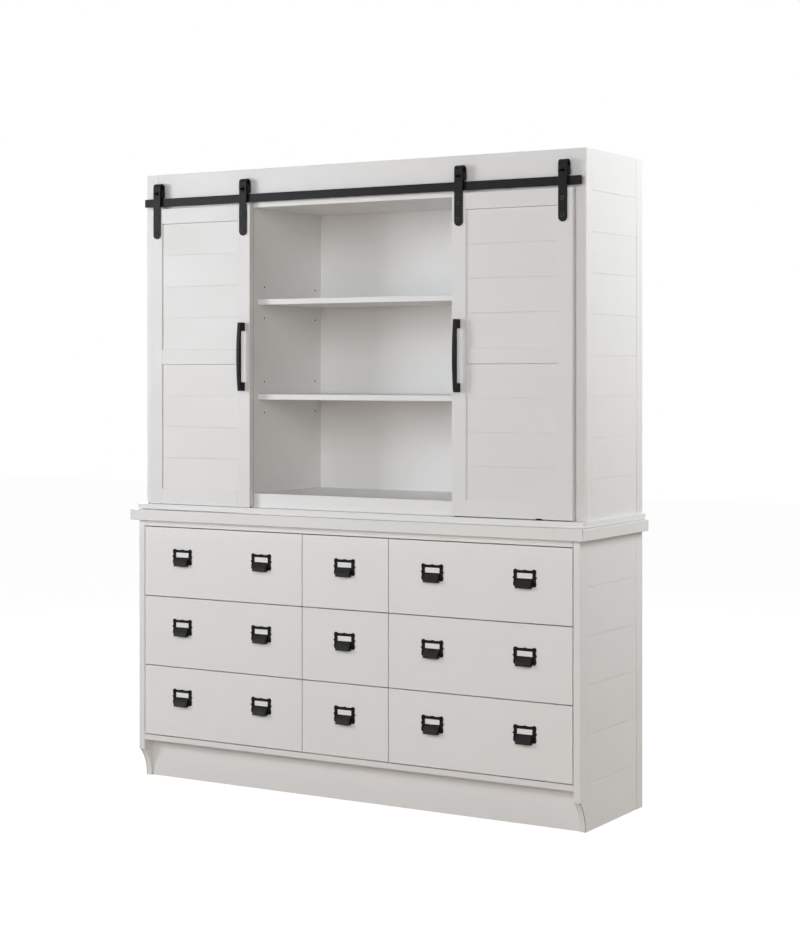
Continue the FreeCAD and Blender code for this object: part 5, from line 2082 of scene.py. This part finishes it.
    def hanger(self, piece: Piece, x: float) -> None:
        """Adds one bent strap with its bolts and the axle.

        Args:
            piece: The piece that gets it.
            x: The X of its middle.
        """
        half, thick, opening, crown = 14.5 * MM, 5 * MM, 16 * MM, 21.5 * MM
        front = PLAN.door_front - thick / 2
        low, spring = PLAN.door_top - 101 * MM, PLAN.axle_z + crown
        reach = (opening + thick) / 2
        path: list[tuple[float, float, float, float, float]] = []
        for number in range(13):
            angle = math.pi / 2 * number / 12
            width = max(half * math.sin(angle), 1.2 * MM)
            path.append((front, low + half * (1 - math.cos(angle)), 0.0, 1.0, width))
        for level in (low + 40 * MM, low + 80 * MM, low + 120 * MM, spring - 12 * MM):
            path.append((front, level, 0.0, 1.0, half))
        for number in range(25):
            angle = math.pi * (1 - number / 24)
            y = PLAN.rail_y + reach * math.cos(angle)
            path.append((y, spring + reach * math.sin(angle), math.sin(angle), -math.cos(angle), half))
        end = PLAN.rail_high + 5 * MM
        for level in (spring - 15 * MM, end + 0.8 * MM, end):
            path.append((PLAN.rail_y + reach, level, 0.0, -1.0, half))
        rings = []
        for number, (y, z, way_y, way_z, width) in enumerate(path):
            out_y, out_z = -way_z, way_y
            slim = 0.8 if number in (0, len(path) - 1) else 1.0
            ring = []
            wide, radius = width * (slim if number else 1.0), min(1.1 * MM, width * 0.5)
            for across, through in rounded_bar(wide, thick / 2 * slim, radius):
                ring.append(Vector((x + across, y + out_y * through, z + out_z * through)))
            rings.append(ring)
        piece.add(skinned(rings), BLACK_IRON, Axis.Z)
        face = PLAN.door_front - thick
        # Each bolt head is lighter than the strap, a painted highlight, and has a near-black disc in its hex
        # recess, painted shade.
        for z, turn in ((low + 20 * MM, 12.0), (low + 70 * MM, 41.0)):
            Fasteners.stamp(piece, Vector((x, face, z)), 6.5 * MM, 3.5 * MM, Drive.HEX, LIGHTENED_BOLTS, turn)
            Fasteners.shank(piece, x, (face - 1.4 * MM, face - 0.9 * MM), z, 3.7 * MM, RECESS_SHADE)
        Fasteners.stamp(piece, Vector((x, face, PLAN.axle_z)), 9 * MM, 3 * MM, Drive.SLOT, BLACK_IRON)
        # A near-black plate at the floor of the axle bolt's slot: painted shade.
        floor_y = (face - 1.15 * MM, face - 0.9 * MM)
        floor_z = (PLAN.axle_z - 3.4 * MM, PLAN.axle_z + 3.4 * MM)
        piece.board((x - 8.2 * MM, x + 8.2 * MM), floor_y, floor_z, RECESS_SHADE, Axis.X, 0.05 * MM)
        tail = PLAN.door_front + opening + thick + 1.5 * MM
        Fasteners.shank(piece, x, (face, tail), PLAN.axle_z, 4 * MM, BLACK_IRON)

    def wheel(self, x: float, place: str) -> None:
        """The grooved wheel on one hanger.

        Args:
            x: The X of its middle.
            place: Inner or outer.
        """
        piece = Piece(f"rail_wheel_{self.side.word}_{place}", self.seed + 40)
        tread, flange, half, groove, bore, hub = 16 * MM, 18.5 * MM, 6 * MM, 3.1 * MM, 4.05 * MM, 7 * MM
        profile = [
            (bore, -half),
            (hub, -half),
            (hub + 0.8 * MM, -half + 1.6 * MM),
            (tread - 3 * MM, -half + 1.6 * MM),
            (tread - 2 * MM, -half),
            (flange - 0.8 * MM, -half),
            (flange, -half + 0.8 * MM),
            (flange, -groove - 0.9 * MM),
            (flange - 0.6 * MM, -groove - 0.2 * MM),
            (tread + 0.4 * MM, -groove),
            (tread, -groove + 0.4 * MM),
        ]
        profile += [(radius, -y) for radius, y in reversed(profile)]
        centre = Vector((x, PLAN.rail_y, PLAN.axle_z))
        piece.add(turned(profile, centre, 64, True), WHEEL_NYLON)
        node = f"wheel_{self.side.word}_{place}"
        piece.finish(node, node)


def rounded_bar(
    half_width: float, half_depth: float, radius: float, middle: float = 0.0, steps: int = 4
) -> list[Pair]:
    """The outline of a bar's section with rounded corners.

    Args:
        half_width: Half its width.
        half_depth: Half its thickness.
        radius: Its corners' radius.
        middle: Where the middle of its thickness is.
        steps: How many pieces each corner is cut into.

    Returns:
        Its points, once round.
    """
    points = []
    for sx, sy, start in ((1, 1, 0), (-1, 1, 90), (-1, -1, 180), (1, -1, 270)):
        centre = (sx * (half_width - radius), middle + sy * (half_depth - radius))
        points += arc_points(centre, radius, start, start + 90, steps)
    return points


# ------------------------------------------------------------------ studio
@dataclass
class Studio:
    """Pale floor, soft light and the camera."""

    camera_place: Triple = (3.3554, -5.4361, 1.3664)
    heading: float = 31.1
    lens: float = 74.27
    shift_y: float = -0.109
    sky: float = 0.05
    sky_tone: Colour = (1.0, 0.90, 0.78, 1)
    floor_white: float = 0.80
    floor_glow: float = 1.225
    floor_tone: Colour = (0.46, 0.395, 0.34, 1)
    floor_shade: Colour = (0.41, 0.352, 0.303, 1)

    def build(self) -> None:
        """Makes the floor, the lights, the world and the camera."""
        self.floor()
        self.world()
        self.light("left_panel", (-2.75, -3.05, 1.85), (0.0, 0.0, 1.05), 1.6, 60.0, (0.93, 0.96, 1.0))
        self.light("front_panel", (1.5, -6.0, 2.8), (0.0, 0.0, 1.0), 3.0, 101.0, (0.80, 0.92, 1.0))
        self.light("far_right_panel", (3.6, -5.0, 2.8), (0.0, 0.0, 1.0), 3.0, 77.0, (1.0, 0.91, 0.84))
        self.light("right_panel", (2.8, 1.25, 2.45), (0.8, 0.0, 1.25), 1.7, 44.0, (0.965, 0.955, 0.945))
        self.light("high_right_panel", (2.4, 1.1, 2.9), (0.8, 0.0, 1.4), 1.2, 16.0, (0.80, 0.94, 1.0))
        self.light("back_panel", (-3.2, 3.4, 2.4), (0.0, 0.0, 1.1), 2.0, 140.0, (1.0, 1.0, 1.0))
        self.light("low_panel", (0.6, -4.5, 0.5), (0.0, 0.0, 1.5), 1.6, 17.0, (1.0, 0.76, 0.60))
        self.camera()
        settings = bpy.context.scene.view_settings
        settings.view_transform = "Standard"

    def floor(self) -> None:
        """A wide floor that shows white to the camera and still takes the shadow."""
        mesh = bmesh.new()
        bmesh.ops.create_grid(mesh, x_segments=8, y_segments=8, size=14.0)
        data = bpy.data.meshes.new("studio_floor")
        mesh.to_mesh(data)
        mesh.free()
        floor = bpy.data.objects.new("studio_floor", data)
        bpy.context.scene.collection.objects.link(floor)
        material = bpy.data.materials.new("Studio floor")
        material.use_nodes = True
        material.node_tree.nodes.clear()
        wiring = Wiring(material.node_tree)
        matt = wiring.node("BsdfDiffuse")
        place = wiring.node("TexCoord").outputs["Object"]
        tone = wiring.times(wiring.noise(place, 3.0, 4.0, 0.5), 0.02)
        wiring.feed(matt.inputs["Color"], wiring.blend(tone, self.floor_tone, self.floor_shade))
        glow = wiring.node("Emission")
        glow.inputs["Strength"].default_value = self.floor_glow
        mix = wiring.node("MixShader")
        wiring.feed(mix.inputs["Fac"], wiring.times(wiring.seen_directly(), self.floor_white))
        wiring.feed(mix.inputs[1], matt.outputs[0])
        wiring.feed(mix.inputs[2], glow.outputs[0])
        out = wiring.node("OutputMaterial")
        wiring.feed(out.inputs["Surface"], mix.outputs[0])
        data.materials.append(material)

    def world(self) -> None:
        """White for the camera, and a soft surround, brighter to the right, that lights the furniture."""
        world = bpy.data.worlds.new("Studio surround")
        bpy.context.scene.world = world
        world.use_nodes = True
        world.node_tree.nodes.clear()
        wiring = Wiring(world.node_tree)
        lamp = wiring.node("Background")
        place = wiring.node("TexCoord").outputs["Generated"]
        parts = wiring.node("SeparateXYZ")
        wiring.feed(parts.inputs[0], place)
        aside = wiring.times(parts.outputs["X"], 1.0, True)
        wiring.feed(lamp.inputs["Color"], wiring.blend(aside, (0, 0, 0, 1), self.sky_tone))
        lamp.inputs["Strength"].default_value = self.sky
        white = wiring.node("Background")
        white.inputs["Strength"].default_value = 1.0
        white.inputs["Color"].default_value = (1, 1, 1, 1)
        mix = wiring.node("MixShader")
        wiring.feed(mix.inputs["Fac"], wiring.seen_directly())
        wiring.feed(mix.inputs[1], lamp.outputs[0])
        wiring.feed(mix.inputs[2], white.outputs[0])
        out = wiring.node("OutputWorld")
        wiring.feed(out.inputs["Surface"], mix.outputs[0])

    def light(self, name: str, place: Triple, aim: Triple, size: float, power: float, colour: Triple) -> None:
        """Adds a soft panel light.

        Args:
            name: Its name.
            place: Where it stands.
            aim: What it points at.
            size: Its width and its height.
            power: Its power in watts.
            colour: Its colour.
        """
        data = bpy.data.lights.new(name, "AREA")
        data.shape = "SQUARE"
        data.size = size
        data.energy = power
        data.color = colour
        lamp = bpy.data.objects.new(name, data)
        bpy.context.scene.collection.objects.link(lamp)
        lamp.location = place
        lamp.rotation_euler = (Vector(aim) - Vector(place)).to_track_quat("-Z", "Y").to_euler()

    def camera(self) -> None:
        """Sets up the camera."""
        data = bpy.data.cameras.new("studio_camera")
        data.lens = self.lens
        data.shift_y = self.shift_y
        data.clip_start, data.clip_end = 0.05, 100.0
        camera = bpy.data.objects.new("studio_camera", data)
        bpy.context.scene.collection.objects.link(camera)
        camera.location = self.camera_place
        camera.rotation_euler = (math.pi / 2, 0.0, math.radians(self.heading))
        bpy.context.scene.camera = camera


def main() -> None:
    """Builds every sub-assembly in order."""
    logging.basicConfig(level=logging.INFO, format="%(name)s: %(message)s", stream=sys.stdout)
    LowerCase().build()
    for row in range(3):
        for column in range(3):
            Drawer(row, column).build()
    UpperCase().build()
    DoorTrack().build()
    for side in Side:
        SlidingDoor(side).build()
    Studio().build()


if __name__ == "__main__":
    main()
